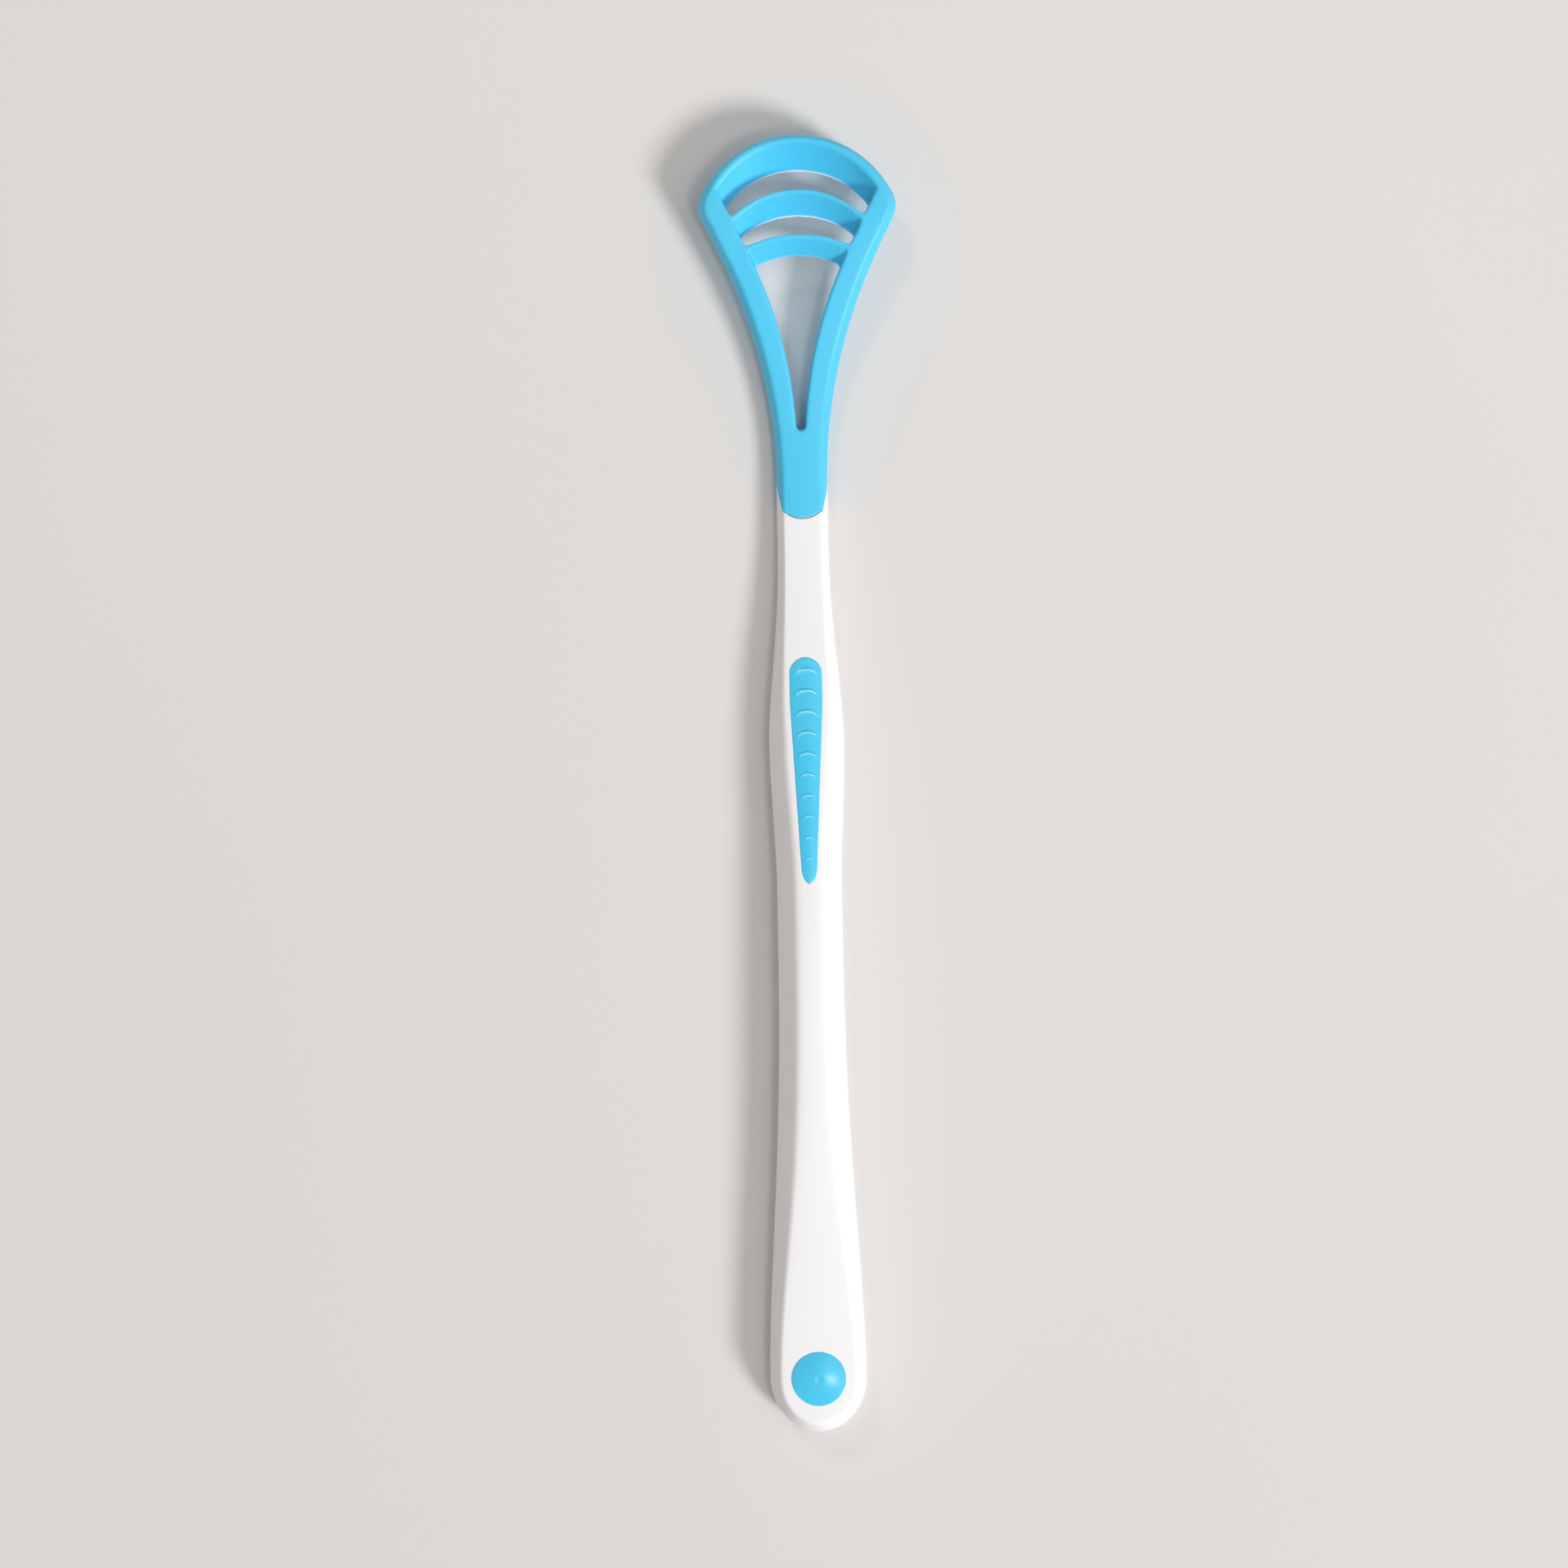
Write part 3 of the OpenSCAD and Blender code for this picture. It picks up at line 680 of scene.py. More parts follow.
@dataclass
class HandleShaft(Moulding):
    """White moulding from the butt to the cheeks beside the head's tongue."""

    arch_steps: int = 6
    station: float = 1.25
    seam_groove: float = 0.07
    warp_l: float = 4.0
    warp_steps: int = 8
    butt_steps: int = 26
    groove_back: float = 0.2

    def ring(self, side: Sequence[Point]) -> Ring:
        """Close a section from its right side: over the top, down the left and along the underside."""
        rim = side[-1]
        foot = side[0]
        top: Ring = []
        under: Ring = []
        for step in range(1, 2 * self.arch_steps):
            share = 1 - step / self.arch_steps
            top.append((rim[0] * share, rim[1], SKIN.skin_z(rim[0] * share, rim[1])))
            under.append((-foot[0] * share, foot[1], foot[2]))
        left = [(-x, y, z) for x, y, z in reversed(side)]
        return [*side, *top, *left, *under]

    def seam_ring(self, start_y: float, share: float, back: float) -> Ring:
        """Return a section that bends into the seam's line.

        Args:
            start_y: Place of the last straight section.
            share: How far the section has bent, from 0 to 1.
            back: Distance that the section stays behind the seam.
        """
        half = SKIN.neck_w / 2
        straight = SKIN.side(half, start_y, 0.0)
        side_count = len(straight)
        arch_count = 2 * self.arch_steps - 1
        ring: Ring = []
        for index, (x, _, _) in enumerate(self.ring(straight)):
            y = mix(start_y, SKIN.seam_y(x) - back, share)
            mirror = 2 * side_count + arch_count - 1 - index
            if index < side_count:
                z = SKIN.side(half, y, 0.0)[index][2]
            elif index < side_count + arch_count:
                z = SKIN.skin_z(x, y)
            elif mirror >= 0:
                z = SKIN.side(half, y, 0.0)[mirror][2]
            else:
                z = SKIN.under_z(y)
            ring.append((x, y, z))
        return ring

    def rings(self) -> list[Ring]:
        """Return all sections, from the seam to the butt."""
        start_y = SKIN.tongue_y - self.warp_l
        groove = self.seam_groove
        rings = [SKIN.drawn_in(self.seam_ring(start_y, 1.0, 0.0), groove, -groove * self.groove_back)]
        for step in range(self.warp_steps):
            share = 1 - step / self.warp_steps
            rings.append(self.seam_ring(start_y, share, groove * share))
        length = start_y - SKIN.wide_y
        count = math.ceil(length / self.station)
        for step in range(count):
            y = start_y - length * step / count
            rings.append(self.ring(SKIN.side(SKIN.half_w(y), y, 0.0)))
        for step in range(self.butt_steps + 1):
            turn = -math.pi / 2 * step / self.butt_steps
            x = SKIN.butt_w / 2 * math.cos(turn)
            y = SKIN.wide_y + SKIN.butt_end_l * math.sin(turn)
            direction = math.atan2(math.sin(turn) / SKIN.butt_end_l, math.cos(turn) * 2 / SKIN.butt_w)
            rings.append(self.ring(SKIN.side(x, y, direction)))
        return rings

    def build(self) -> bpy.types.Object:
        """Model and settle the handle."""
        shaft = grow_tube("handle_shaft", self.rings(), closed=False)
        return self.settle(shaft, 40)


@dataclass
class SlantedBlade:
    """One arched blade, from its front edge in the face to its lip."""

    top_y: float
    radius: float
    front_w: float
    depth: float
    slant: float = math.radians(44.5)
    lip_w: float = 0.45
    lip_r: float = 11.9
    root: float = 0.4

    def low_z(self) -> float:
        """Return the height of the lip."""
        return SKIN.face_z(self.top_y) - self.depth

    def lip_top(self) -> float:
        """Return the place of the lip's highest point."""
        return self.top_y - self.depth * math.tan(self.slant)


@dataclass(frozen=True)
class LipShine:
    """Pale line painted along a lip, to stand for the bright edge that the photograph shows."""

    colour: Colour
    half_w: float
    rise: float
    reach: float
    strengths: tuple[float, float, float]

    def dress(self, finish: bpy.types.Material, blade: SlantedBlade, effect: bpy.types.ShaderNodeTree,
              strength: float) -> None:
        """Add the line of one blade's lip to a material.

        Args:
            finish: The head's material.
            blade: The blade whose lip shines.
            effect: The shared lip_shine group.
            strength: How far the line goes over to its own colour.
        """
        made = Wiring(finish.node_tree)
        shader = made.tree.nodes["Principled BSDF"]
        where = next(node for node in made.tree.nodes if node.type == "TEX_COORD")
        shine = made.node("Group", {
            "Vector": where.outputs["Object"], "Colour": shader.inputs["Base Color"].links[0].from_socket,
            "Shine Colour": (*self.colour, 1), "Centre": (blade.lip_top() - blade.lip_r) * MM,
            "Radius": (blade.lip_r + self.rise) * MM, "Height": blade.low_z() * MM,
            "Half Width": self.half_w * MM, "Reach": self.reach * MM, "Strength": strength,
        }, node_tree=effect)
        made.feed(shader, {"Base Color": shine.outputs["Colour"]})


LIP_SHINE = LipShine(
    colour=(0.97, 0.985, 1.0), half_w=0.18, rise=0.2, reach=8.5, strengths=(1.0, 0.7, 0.2))


@dataclass
class ScraperHead(Moulding):
    """Blue moulding: tongue, two arms, rim and three slanted blades."""

    rim_r: float = 12.2
    fork_r: float = 0.6
    fork_l: float = 11.8
    upper_pitch: float = 6.1
    lower_pitch: float = 5.9
    middle_r: float = 12.7
    lower_r: float = 16.9
    blade_rim_w: float = 0.65
    edge_r: float = 0.38
    rim_edge_r: float = 0.5
    fillet_r: float = 0.7
    slot_r: float = 0.5
    joint_edge_r: float = 0.12
    joint_l: float = 0.8
    seam_gap: float = 0.03
    skin_step: float = 0.15
    soft_rounds: int = 9
    seam_groove: float = 0.07
    groove_shift: float = 0.015
    warp_l: float = 1.4
    warp_steps: int = 8
    neck_steps: int = 6
    lip_edge: float = 0.13
    lip_back: float = 0.45
    edge_steps: int = 6
    wall_steps: int = 4
    lip_steps: int = 3
    roof_steps: int = 5
    blade_steps: int = 44
    blade_sink: float = 0.01
    blade_edges: tuple[float, float, float, float] = (0.14, 0.14, 0.24, 0.24)
    corner_steps: int = 5
    blades: list[SlantedBlade] = field(default_factory=list)

    def __post_init__(self) -> None:
        """Place the three blades."""
        rim_in = SKIN.tip_y - SKIN.rim_w
        middle_y = rim_in - self.upper_pitch - self.blade_rim_w
        rim = self.blade_rim_w
        self.blades = [
            SlantedBlade(rim_in, self.rim_r, SKIN.rim_w / 2, 3.7),
            SlantedBlade(middle_y, self.middle_r - rim, rim, 3.0),
            SlantedBlade(middle_y - self.lower_pitch, self.lower_r - rim, rim, 2.4),
        ]

    def arm_in(self, y: float) -> float:
        """Return the distance of the arm's inner edge from the long axis, beside the flank."""
        lean = SKIN.flank_lean
        return SKIN.flank_x + (y - SKIN.flank_y) * math.tan(lean) - SKIN.arm_w / math.cos(lean)

    def lean_fillet(self, radius: float, arc_top: float, arc_r: float, inside: bool) -> tuple[float, float]:
        """Find the centre of a fillet between an arm's inner edge and an arc.

        Args:
            radius: Radius of the fillet.
            arc_top: Highest point of the arc.
            arc_r: Radius of the arc.
            inside: True where the opening lies on the hollow side of the arc.

        Returns:
            The centre's x and y.
        """
        lean = SKIN.flank_lean
        centre_y = arc_top - arc_r
        reach = arc_r - radius if inside else arc_r + radius
        base = self.arm_in(centre_y) - radius / math.cos(lean)
        half_b = base * math.sin(lean)
        away = -half_b + math.sqrt(half_b ** 2 - base ** 2 + reach ** 2)
        return base + away * math.sin(lean), centre_y + away * math.cos(lean)

    def filleted_y(self, x: float, arc_top: float, arc_r: float, inside: bool) -> float:
        """Return y on an arc whose ends are rounded into the arms.

        Args:
            x: Distance from the long axis.
            arc_top: Highest point of the arc.
            arc_r: Radius of the arc.
            inside: True for the lower side of a bar, False for its upper side.
        """
        across = abs(x)
        radius = self.slot_r
        centre_x, centre_y = self.lean_fillet(radius, arc_top, arc_r, inside)
        sign = 1 if inside else -1
        middle_y = arc_top - arc_r
        away = math.hypot(centre_x, centre_y - middle_y)
        start = centre_x + sign * radius * centre_x / away
        if across <= start:
            return arc_y(across, arc_top, arc_r)
        limit = radius if inside else radius * math.cos(SKIN.flank_lean)
        within = min(across - centre_x, limit)
        return centre_y + sign * math.sqrt(max(radius ** 2 - within ** 2, 0.0))

    def inner_edge(self, y: float) -> float:
        """Return how far the arm's inner edge is rounded, less where a blade's rim runs into it."""
        reach = self.edge_r
        drop = self.slot_r * math.sin(SKIN.flank_lean)
        for blade in self.blades[1:]:
            _, low_y = self.lean_fillet(self.slot_r, blade.top_y, blade.radius, True)
            _, high_y = self.lean_fillet(self.slot_r, blade.top_y + blade.front_w,
                                         blade.radius + blade.front_w, False)
            away = max(low_y - drop - y, y - high_y + drop, 0.0)
            reach = min(reach, mix(self.joint_edge_r, self.edge_r, along(away, 0.0, self.joint_l)))
        return reach

    def wall_pairs(self) -> list[tuple[Point, Point, float]]:
        """Pair the outer outline with the inner one, from the fork to the tip.

        Returns:
            For each station the outer point with its normal's direction, the inner point with
            the direction towards the opening, and how much of the rim's blade is there.
        """
        lean = SKIN.flank_lean
        fork_y = SKIN.tongue_y + self.fork_l + self.fork_r
        fork_in = self.arm_in(SKIN.fork_top_y)
        drop = SKIN.fork_top_y - fork_y
        radius = ((fork_in ** 2 + drop ** 2 - self.fork_r ** 2)
                  / (2 * (drop * math.sin(lean) + self.fork_r - fork_in * math.cos(lean))))
        arc_x = fork_in + radius * math.cos(lean)
        arc_mid_y = SKIN.fork_top_y - radius * math.sin(lean)
        turn = math.atan2(arc_mid_y - fork_y, arc_x)

        def flare(first: float, last: float) -> Way:
            """Return a part of the hollow outer arc, between two angles."""
            return arc(SKIN.flare_x, SKIN.flare_y, -SKIN.flare_r, -first, -last)

        low = math.asin((fork_y - self.fork_r - SKIN.flare_y) / SKIN.flare_r)
        high = math.asin((fork_y + self.fork_r - SKIN.flare_y) / SKIN.flare_r)
        upper = self.blades[0]
        centre_x, centre_y = self.lean_fillet(self.fillet_r, upper.top_y, upper.radius, True)
        line_x = centre_x + self.fillet_r * math.cos(lean)
        line_y = centre_y - self.fillet_r * math.sin(lean)
        arc_turn = math.atan2(centre_y - upper.top_y + upper.radius, centre_x)
        # Steps, outer way, inner way, share of the rim's blade at the start and its growth.
        stretches = (
            (8, flare(low, high), arc(0.0, fork_y, self.fork_r, -math.pi / 2, turn, math.pi), 0.0, 0.0),
            (22, flare(high, lean), arc(arc_x, arc_mid_y, -radius, turn, -lean, math.pi), 0.0, 0.0),
            (32, line((SKIN.half_w(SKIN.fork_top_y), SKIN.fork_top_y, -lean),
                      (SKIN.flank_x, SKIN.flank_y, -lean)),
             line((fork_in, SKIN.fork_top_y, math.pi - lean), (line_x, line_y, math.pi - lean)), 0.0, 0.0),
            (14, arc(SKIN.corner_x, SKIN.corner_y, SKIN.corner_r, -lean, SKIN.crown_turn),
             arc(centre_x, centre_y, self.fillet_r, -lean, arc_turn, math.pi), 0.0, 3.0),
            (36, arc(0.0, SKIN.crown_y, SKIN.crown_r, SKIN.crown_turn, math.pi / 2),
             arc(0.0, upper.top_y - upper.radius, upper.radius, arc_turn, math.pi / 2, math.pi), 1.0, 0.0),
        )
        pairs = [(stretches[0][1](0.0), stretches[0][2](0.0), 0.0)]
        for steps, outer, inner, blade, growth in stretches:
            for step in range(1, steps + 1):
                share = step / steps
                pairs.append((outer(share), inner(share), clamp(blade + growth * share)))
        return pairs

    def bar(self, x: float, top_y: float, radius: float, width: float) -> tuple[float, float]:
        """Return y at x on the lower and the upper side of an arched bar between the arms."""
        return (self.filleted_y(x, top_y, radius, True),
                self.filleted_y(x, top_y + width, radius + width, False))

    def band_ring(self, outer: Point, inner: Point, blade: float) -> Ring:
        """Return the section of arm or rim at one station.

        Args:
            outer: Outer point and its normal's direction.
            inner: Inner point and the direction towards the opening.
            blade: 0 beside the arm's plain wall, 1 where the rim's blade hangs from it.
        """
        side = SKIN.side(*outer)
        rim, foot = side[-1], side[0]
        x, y, direction = inner
        upper = self.blades[0]
        high = SKIN.skin_z(x, y)
        top = (x, y, high)
        wall_low = Vector((x, y, SKIN.under_z(y)))
        lip_in, lip_out = (Vector((x, lip_y, upper.low_z()))
                           for lip_y in self.bar(x, upper.lip_top(), upper.lip_r, upper.lip_w))
        back = Vector((math.cos(direction), math.sin(direction), 0)) * -self.lip_back
        first_low = tuple(wall_low.lerp(lip_in, blade))
        other_low = tuple((wall_low + back).lerp(lip_out, blade))
        crest = (x - math.cos(direction), y - math.sin(direction), high)
        toward = Vector(rim) - Vector(top)
        reach = min(mix(self.inner_edge(y), self.rim_edge_r, blade), toward.length * 0.6)
        edge = rounded_corner(crest, top, first_low, reach, self.edge_steps)
        start_x, start_y, _ = Vector(edge[0])
        edge[0] = (start_x, start_y, SKIN.skin_z(start_x, start_y))
        lip_first = rounded_corner(top, first_low, other_low, self.lip_edge, self.lip_steps)
        lip_second = rounded_corner(first_low, other_low, foot, self.lip_edge, self.lip_steps)
        roof = [(px, py, SKIN.skin_z(px, py)) for px, py, _ in between(rim, edge[0], self.roof_steps)]
        wall = between(edge[-1], lip_first[0], self.wall_steps)
        sole = between(lip_second[-1], foot, self.wall_steps)
        return [*side, *roof, *edge, *wall, *lip_first, *lip_second, *sole]

    def neck_ring(self, y: float, seam_share: float, back: float) -> Ring:
        """Return half a section of the solid neck, closed along the long axis.

        Args:
            y: Place of the straight section.
            seam_share: 0 for a straight section, 1 for one on the seam.
            back: Distance that the section stays in front of the seam.
        """

        def bent(x: float) -> float:
            """Return the place of the section at x, with its bend towards the seam."""
            return mix(y, SKIN.seam_y(x) + back, seam_share)

        bends = seam_share > 0
        half = SKIN.neck_w / 2 if bends else SKIN.half_w(y)
        slope = 0.0 if bends else -math.asin(max(y - SKIN.flare_y, 0.0) / SKIN.flare_r)
        side = SKIN.side(half, y, slope)
        if bends:
            side = [(x, bent(x), SKIN.side(half, bent(x), 0.0)[index][2])
                    for index, (x, _, _) in enumerate(side)]
        rim, foot = side[-1], side[0]
        ring = list(side)
        spans = self.roof_steps + 1
        for step in range(1, spans):
            x = rim[0] * (1 - step / spans)
            at = bent(x) if bends else mix(rim[1], y, step / spans)
            ring.append((x, at, SKIN.skin_z(x, at)))
        here = bent(0) if bends else y
        high, low = SKIN.skin_z(0, here), SKIN.under_z(here)
        last = self.edge_steps + self.wall_steps + 2 * (self.lip_steps + 1)
        ring.extend((0.0, here, mix(high, low, step / last)) for step in range(last + 1))
        spans = self.wall_steps + 1
        for step in range(1, spans):
            x = foot[0] * step / spans
            at = bent(x) if bends else mix(y, foot[1], step / spans)
            ring.append((x, at, SKIN.under_z(at)))
        return ring

    def band_rings(self) -> list[Ring]:
        """Return all sections of one half of the frame, from the seam to the tip."""
        start_y = SKIN.flare_y + self.warp_l
        lip = self.neck_ring(start_y, 1.0, self.seam_gap)
        rings = [SKIN.drawn_in(lip, self.seam_groove, self.groove_shift)]
        for step in range(self.warp_steps):
            share = 1 - step / self.warp_steps
            rings.append(self.neck_ring(start_y, share, (self.seam_gap + self.seam_groove) * share))
        fork_bottom = SKIN.tongue_y + self.fork_l
        for step in range(self.neck_steps):
            rings.append(self.neck_ring(mix(start_y, fork_bottom, step / self.neck_steps), 0.0, 0.0))
        rings.extend(self.band_ring(*pair) for pair in self.wall_pairs())
        return rings

    def band(self) -> bpy.types.Object:
        """Model tongue, arms and rim: one half is grown and mirrored."""
        half = grow_tube("head_band", self.band_rings(), closed=False)
        only(half)
        edit_all("FACE")
        bpy.ops.mesh.select_all(action="DESELECT")
        mesh = bmesh.from_edit_mesh(half.data)
        for face in mesh.faces:
            if all(abs(vertex.co.x) < HAIR for vertex in face.verts):
                face.select_set(True)
        bmesh.update_edit_mesh(half.data)
        bpy.ops.mesh.delete(type="FACE")
        bpy.ops.mesh.select_mode(type="VERT")
        bpy.ops.mesh.select_all(action="SELECT")
        bpy.ops.mesh.delete_loose()
        bpy.ops.object.mode_set(mode="OBJECT")
        apply_modifier(half, "MIRROR", use_axis=(True, False, False), use_mirror_merge=True,
                       merge_threshold=1e-6)
        edit_all()
        turn_out()
        return half

    def blade_ring(self, blade: SlantedBlade, x: float) -> Ring:
        """Return a blade's section at x, with rounded edges."""
        low = blade.low_z()
        front_in, front_out = self.bar(x, blade.top_y, blade.radius, blade.front_w)
        lip_in, lip_out = self.bar(x, blade.lip_top(), blade.lip_r, blade.lip_w)
        top = min(SKIN.skin_z(x, front_out), SKIN.skin_z(x, front_in)) - self.blade_sink
        corners: Ring = [(x, lip_in, low), (x, lip_out, low), (x, front_out, top), (x, front_in, top)]
        ring: Ring = []
        for index, corner in enumerate(corners):
            before = corners[index - 1]
            after = corners[(index + 1) % 4]
            ring.extend(rounded_corner(before, corner, after, self.blade_edges[index], self.corner_steps))
        return ring

    def blade(self, blade: SlantedBlade, name: str) -> bpy.types.Object:
        """Model one blade as a bar across the opening, with its roots in the arms."""
        centre_x, _ = self.lean_fillet(self.slot_r, blade.top_y + blade.front_w,
                                       blade.radius + blade.front_w, False)
        end = centre_x + self.slot_r * math.cos(SKIN.flank_lean) + blade.root
        steps = self.blade_steps
        stations = [math.sin(math.pi / 2 * step / steps) * end for step in range(-steps, steps + 1)]
        return grow_tube(name, [self.blade_ring(blade, x) for x in stations])

    def melt(self, head: bpy.types.Object) -> None:
        """Melt frame and blades into one skin that is soft all over the fan."""
        apply_modifier(head, "REMESH", mode="VOXEL", voxel_size=self.skin_step * MM, adaptivity=0.0)
        start_y = SKIN.flare_y
        for name, limit_y, rounds in (("all_of_it", -1.0, 1), ("fan", start_y * MM, self.soft_rounds)):
            group = head.vertex_groups.new(name=name)
            chosen = [vertex.index for vertex in head.data.vertices if vertex.co.y > limit_y]
            group.add(chosen, 1.0, "REPLACE")
            apply_modifier(head, "SMOOTH", factor=0.5, iterations=rounds, vertex_group=name)
        head.vertex_groups.clear()

    def build(self) -> bpy.types.Object:
        """Model and settle the head."""
        band = self.band()
        bars = [self.blade(blade, f"blade_{index}") for index, blade in enumerate(self.blades[1:], 2)]
        head = join([band, *bars], "scraper_fan")
        self.melt(head)
        return self.settle(head, 38)


@dataclass(frozen=True)
class RidgeSpot:
    """Place on a ridge: outward and sideward from its crest, as shares, and the ridge's scale."""

    out: float
    side: float
    scale: float


@dataclass
class GripPad(Moulding):
    """Soft pad under the thumb, with crescent ridges."""

    length: float = 30.0
    gap: float = 18.4
    wide_r: float = 2.2
    tip_r: float = 1.1
    tip_l: float = 2.4
    full_l: float = 4.0
    proud: float = 0.07
    rise: float = 0.1
    edge_r: float = 0.2
    wall: float = 0.6
    ridges: int = 10
    ridge_pitch: float = 2.77
    ridge_h: float = 0.2
    ridge_w: float = 0.36
    ridge_margin: float = 0.75
    ridge_start: float = 0.25
    ridge_bow: float = 1.7
    ridge_reach: float = 1.15
    ridge_zone: float = 1.6
    # Material with the crests' painted highlight.
    crest: bpy.types.Material | None = None
    across: int = 48
    row: float = 0.07
    wide_steps: int = 18
    wide_power: float = 0.92
    tip_steps: int = 12

    @property
    def wide_y(self) -> float:
        """Place of the wide end's centre."""
        return SKIN.tongue_y - self.gap - self.wide_r

    @property
    def tip_y(self) -> float:
        """Place of the narrow end's centre."""
        return SKIN.tongue_y - self.gap - self.length + self.tip_l

    def half(self, y: float) -> float:
        """Return half the pad's width between its round ends."""
        full_y = self.wide_y - self.full_l
        if y > full_y:
            return self.wide_r
        return mix(self.wide_r, self.tip_r, clamp((full_y - y) / (full_y - self.tip_y)))

    def rows(self) -> list[tuple[float, float]]:
        """Return the place and half width of each row, from the wide end to the narrow one."""
        rows: list[tuple[float, float]] = []
        for step in range(self.wide_steps):
            turn = math.pi / 2 * (1 - step / self.wide_steps)
            rows.append((self.wide_y + self.wide_r * math.sin(turn),
                         self.wide_r * math.cos(turn) ** self.wide_power))
        span = self.wide_y - self.tip_y
        count = math.ceil(span / self.row)
        for step in range(count + 1):
            y = self.wide_y - span * step / count
            rows.append((y, self.half(y)))
        for step in range(1, self.tip_steps + 1):
            turn = math.pi / 2 * step / self.tip_steps
            rows.append((self.tip_y - self.tip_l * math.sin(turn), self.tip_r * math.cos(turn)))
        return rows

    def ridge_at(self, x: float, y: float) -> RidgeSpot | None:
        """Return how a place lies on its ridge, or nothing beside the ridges."""
        first_y = self.wide_y + self.ridge_start * self.wide_r
        index = round((first_y - y) / self.ridge_pitch)
        spots: list[RidgeSpot] = []
        for number in range(max(index - 1, 0), min(index + 2, self.ridges)):
            mid = first_y - number * self.ridge_pitch
            size = self.half(mid) - self.ridge_margin
            radius = self.ridge_bow * size
            side = abs(x) / (size * self.ridge_reach)
            if abs(y - mid) > self.ridge_zone or side > 1 or y < mid - radius:
                continue
            scale = size / (self.wide_r - self.ridge_margin)
            out = (math.hypot(x, y - mid + radius) - radius) / (self.ridge_w * (0.55 + 0.45 * scale))
            if abs(out) < 1:
                spots.append(RidgeSpot(out, side, scale))
        return min(spots, key=lambda spot: abs(spot.out)) if spots else None

    def ridge_z(self, x: float, y: float) -> float:
        """Return the height of the ridges over the pad."""
        spot = self.ridge_at(x, y)
        if spot is None:
            return 0.0
        high = self.ridge_h * (0.45 + 0.55 * spot.scale)
        return high * (1 - spot.out ** 2) ** 2 * (1 - spot.side ** 2) ** 0.8

    def on_crest(self, x: float, y: float) -> bool:
        """Tell whether a place lies on the crest of a ridge, the same on both sides."""
        spot = self.ridge_at(x, y)
        if spot is None or spot.side > 0.8:
            return False
        return abs(spot.out + 0.1) < 0.3 * (1 - spot.side ** 2) + 0.06

    def height(self, x: float, y: float, share: float) -> float:
        """Return the height of the pad's surface.

        Args:
            x: Distance from the long axis.
            y: Place on the long axis.
            share: Distance from the long axis as a share of the pad's half width.
        """
        if y > self.wide_y:
            inward = self.wide_r - math.hypot(x, y - self.wide_y)
        elif y < self.tip_y:
            inward = self.tip_r - math.hypot(x, (y - self.tip_y) * self.tip_r / self.tip_l)
        else:
            inward = self.half(y) - abs(x)
        dip = 0.0
        if inward < self.edge_r:
            within = self.edge_r - max(inward, 0.0)
            dip = self.edge_r - math.sqrt(max(self.edge_r ** 2 - within ** 2, 0.0))
        return (SKIN.skin_z(x, y) + self.proud + self.rise * (1 - share ** 2) - dip
                + self.ridge_z(x, y))

    def build(self) -> bpy.types.Object:
        """Model the pad from a grid bent to its outline, with its wall extruded down."""
        rows = self.rows()
        only()
        bpy.ops.mesh.primitive_grid_add(x_subdivisions=self.across, y_subdivisions=len(rows) - 1, size=2)
        pad = bpy.context.active_object
        pad.name = "thumb_pad"
        edit_all()
        mesh = bmesh.from_edit_mesh(pad.data)
        for vertex in mesh.verts:
            index = round((1 - vertex.co.y) / 2 * (len(rows) - 1))
            share = math.sin(vertex.co.x * math.pi / 2)
            y, half = rows[index]
            x = share * half
            vertex.co = Vector((x, y, self.height(x, y, share))) * MM
        bmesh.update_edit_mesh(pad.data)
        bpy.ops.mesh.remove_doubles(threshold=HAIR)
        bpy.ops.mesh.select_mode(type="EDGE")
        bpy.ops.mesh.select_all(action="DESELECT")
        bpy.ops.mesh.select_non_manifold(extend=False)
        bpy.ops.mesh.extrude_region_move(TRANSFORM_OT_translate={"value": (0, 0, -self.wall * MM)})
        bpy.ops.mesh.edge_face_add()
        turn_out()
        self.settle(pad, 50)
        # The ridges' crests get a painted highlight.
        if self.crest is not None:
            self.paint_crest_glints(pad)
        return pad

    def paint_crest_glints(self, pad: bpy.types.Object) -> None:
        """Paint the crests a paler blue as a painted highlight that stands for glints, and make them
        glossier.
        """
        pad.data.materials.append(self.crest)
        for face in pad.data.polygons:
            x, y, _ = face.center / MM
            if face.normal.z > 0.3 and self.on_crest(x, y):
                face.material_index = 1


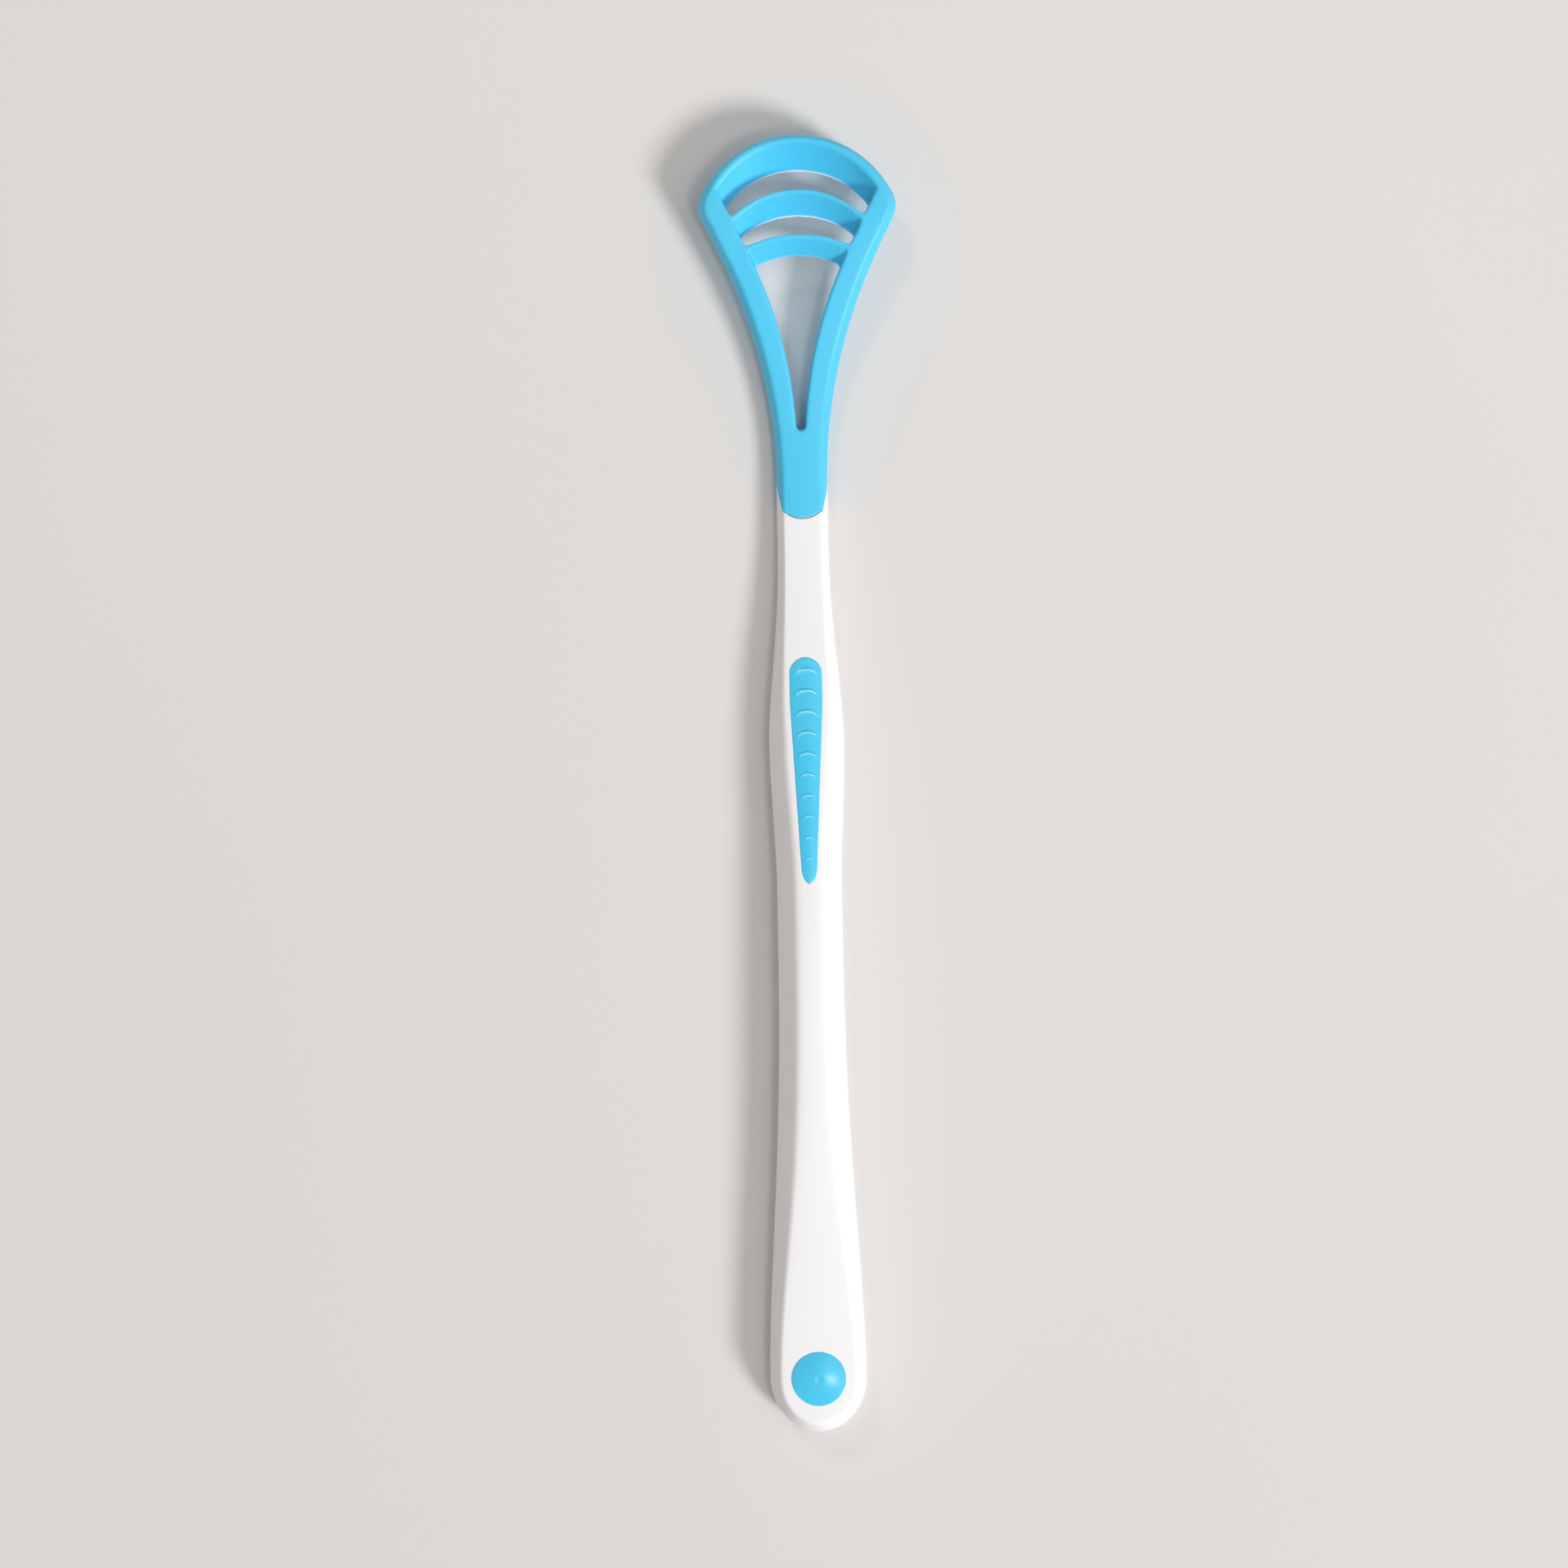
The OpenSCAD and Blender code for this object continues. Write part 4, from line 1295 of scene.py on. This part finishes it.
@dataclass
class EndDot(Moulding):
    """Domed disc near the butt, with the mark of its gate."""

    radius: float = 3.6
    back: float = 7.4
    rise: float = 0.06
    crown: float = 0.45
    edge_r: float = 0.16
    wall: float = 0.9
    gate_r: float = 0.38
    gate_depth: float = 0.035
    around: int = 96
    dome_steps: int = 16
    gate_steps: int = 6

    def circle(self, radius: float, z: float) -> Ring:
        """Return a level ring about the dot's middle."""
        y = SKIN.butt_y + self.back
        return [(radius * math.cos(turn), y + radius * math.sin(turn), z)
                for turn in (2 * math.pi * step / self.around for step in range(self.around))]

    def build(self) -> bpy.types.Object:
        """Model the dot ring by ring, from its foot to the gate mark."""
        rim = SKIN.skin_z(0.0, SKIN.butt_y + self.back) + self.rise
        dome_r = (self.radius ** 2 + self.crown ** 2) / (2 * self.crown)

        def dome(radius: float) -> float:
            """Return the height of the dome at a distance from its middle."""
            return rim + self.crown - dome_r + math.sqrt(dome_r ** 2 - radius ** 2)

        rings = [self.circle(self.radius, rim - self.wall)]
        inner = self.radius - self.edge_r
        corner = rounded_corner((self.radius, 0, rim - self.wall), (self.radius, 0, rim),
                                (inner, 0, dome(inner)), self.edge_r, 6)
        rings.extend(self.circle(x, z) for x, _, z in corner)
        outer = corner[-1][0]
        for step in range(1, self.dome_steps):
            radius = mix(outer, self.gate_r * 1.6, step / self.dome_steps)
            rings.append(self.circle(radius, dome(radius)))
        for step in range(self.gate_steps + 1):
            share = 1 - step / self.gate_steps
            radius = self.gate_r * (0.25 + 1.35 * share)
            rings.append(self.circle(radius, dome(radius) - self.gate_depth * (1 - share ** 2) ** 1.5))
        return self.settle(grow_tube("end_disc", rings), 50)


@dataclass
class Table:
    """Pale table top, with painted shade towards the lower left."""

    reach: float = 2.5
    light: Colour = (0.786, 0.765, 0.751)
    deep: Colour = (0.717, 0.705, 0.696)
    slope: Point = (4.2, 2.2, 0)

    def material(self) -> bpy.types.Material:
        """Build the matt material, with painted shade that makes it a little deeper towards the lower left.
        """
        made = Surface("pale_table_top")
        # Painted shade: the colour deepens along this slope towards the lower left.
        slope = made.node("VectorMath", {0: made.where, 1: self.slope}, operation="DOT_PRODUCT")
        noise = made.node("TexNoise", {"Vector": made.where, "Scale": 9.0, "Detail": 2.0})
        cloud = made.maths("MULTIPLY_ADD", noise.outputs["Fac"], 0.3, 0.35)
        share = made.maths("ADD", cloud, slope.outputs["Value"], clamped=True)
        made.feed(made.shader, {
            "Roughness": 0.9, "Specular IOR Level": 0.1,
            "Base Color": made.blend(share, (*self.deep, 1), (*self.light, 1))})
        return made.material

    def build(self) -> bpy.types.Object:
        """Model the table top as a plane under the scraper."""
        only()
        bpy.ops.mesh.primitive_plane_add(size=2 * self.reach)
        top = bpy.context.active_object
        top.name = "table_top"
        top.data.materials.append(self.material())
        return top


def hang(name: str, data: bpy.types.Light, place: Point, target: Point) -> bpy.types.Object:
    """Put a lamp at a place and aim it at a target."""
    made = bpy.data.objects.new(name, data)
    bpy.context.scene.collection.objects.link(made)
    made.location = Vector(place)
    made.rotation_euler = (Vector(place) - Vector(target)).to_track_quat("Z", "Y").to_euler()
    return made


@dataclass(frozen=True)
class SoftLamp:
    """Broad distant lamp: the side it shines from, its strength, its width in degrees, its tint."""

    name: str
    place: Point
    strength: float
    width: float
    colour: Colour

    def build(self) -> bpy.types.Object:
        """Place the lamp and aim it at the origin."""
        data = bpy.data.lights.new(self.name, "SUN")
        data.energy = self.strength
        data.color = self.colour
        data.angle = math.radians(self.width)
        return hang(self.name, data, self.place, (0.0, 0.0, 0.0))


LAMPS = (
    SoftLamp("key_lamp", place=(1.05, -0.84, 1.04), strength=2.06, width=14.5, colour=(0.98, 0.985, 1.0)),
    SoftLamp("fill_lamp", place=(0.45, 0.08, 1.0), strength=0.41, width=44.0, colour=(1.0, 0.96, 0.91)),
    SoftLamp("window_lamp", place=(-0.4, 0.75, 0.8), strength=0.3, width=9.5, colour=(1.0, 0.93, 0.87)),
)


@dataclass
class Studio:
    """Camera straight above, a key lamp from the lower right and a broad fill from above."""

    lean: float = math.radians(1.08)
    side_shift: float = 3.14
    height: float = 0.6
    level: float = 0.005
    view_w: float = 0.2077
    sensor: float = 36.0
    sky: Colour = (1.0, 0.968, 0.935)
    sky_strength: float = 0.31
    box_place: Point = (0.209, -0.2, 0.876)
    box_target: Point = (0.0, -0.0786, 0.007)
    box_size: tuple[float, float] = (0.07, 0.14)
    box_power: float = 0.85

    def camera(self) -> bpy.types.Object:
        """Place the camera at the photograph's angle."""
        data = bpy.data.cameras.new("view_from_above")
        data.sensor_fit = "HORIZONTAL"
        data.sensor_width = self.sensor
        data.lens = self.sensor * self.height / self.view_w
        data.clip_start = 0.01
        data.clip_end = 20
        made = bpy.data.objects.new("view_from_above", data)
        bpy.context.scene.collection.objects.link(made)
        shift = self.side_shift * MM
        made.location = (-shift * math.cos(self.lean), shift * math.sin(self.lean),
                         self.height + self.level)
        made.rotation_euler = Euler((0, 0, -self.lean))
        bpy.context.scene.camera = made
        return made

    def softbox(self) -> bpy.types.Object:
        """Hang a small softbox that gives the domed pieces their highlight."""
        data = bpy.data.lights.new("small_softbox", "AREA")
        data.shape = "RECTANGLE"
        data.size, data.size_y = self.box_size
        data.energy = self.box_power
        return hang("small_softbox", data, self.box_place, self.box_target)

    def world(self) -> None:
        """Light the scene evenly from all round."""
        made = bpy.data.worlds.new("studio_surround")
        made.use_nodes = True
        ground = made.node_tree.nodes["Background"]
        ground.inputs["Color"].default_value = (*self.sky, 1)
        ground.inputs["Strength"].default_value = self.sky_strength
        bpy.context.scene.world = made

    def build(self) -> None:
        """Set camera, lamps, surround and plain colour."""
        self.camera()
        for lamp in LAMPS:
            lamp.build()
        self.softbox()
        self.world()
        bpy.context.scene.view_settings.view_transform = "Standard"


def main() -> None:
    """Build the scene piece by piece and report each one."""
    grain = moulded_grain()
    mottle = melt_mottle()
    white = WHITE_FINISH.material(grain, mottle)
    blue = BLUE_FINISH.material(grain, mottle)
    grip = GRIP_FINISH.material(grain, mottle)
    Studio().build()
    Table().build()
    head = ScraperHead("scraper_head", "blue_plastic", blue)
    # Painted highlight: a pale line along each blade's lip.
    effect = lip_shine()
    for blade, strength in zip(head.blades, LIP_SHINE.strengths):
        LIP_SHINE.dress(blue, blade, effect, strength)
    pieces = (
        HandleShaft("handle", "white_plastic", white),
        head,
        GripPad("grip_pad", "blue_rubber", grip, crest=CREST_GLINT_PAINT.material(grain, mottle)),
        EndDot("end_dot", "blue_rubber", grip),
    )
    for piece in pieces:
        made = piece.build()
        log.info("%s: %d faces", made.name, len(made.data.polygons))


if __name__ == "__main__":
    main()
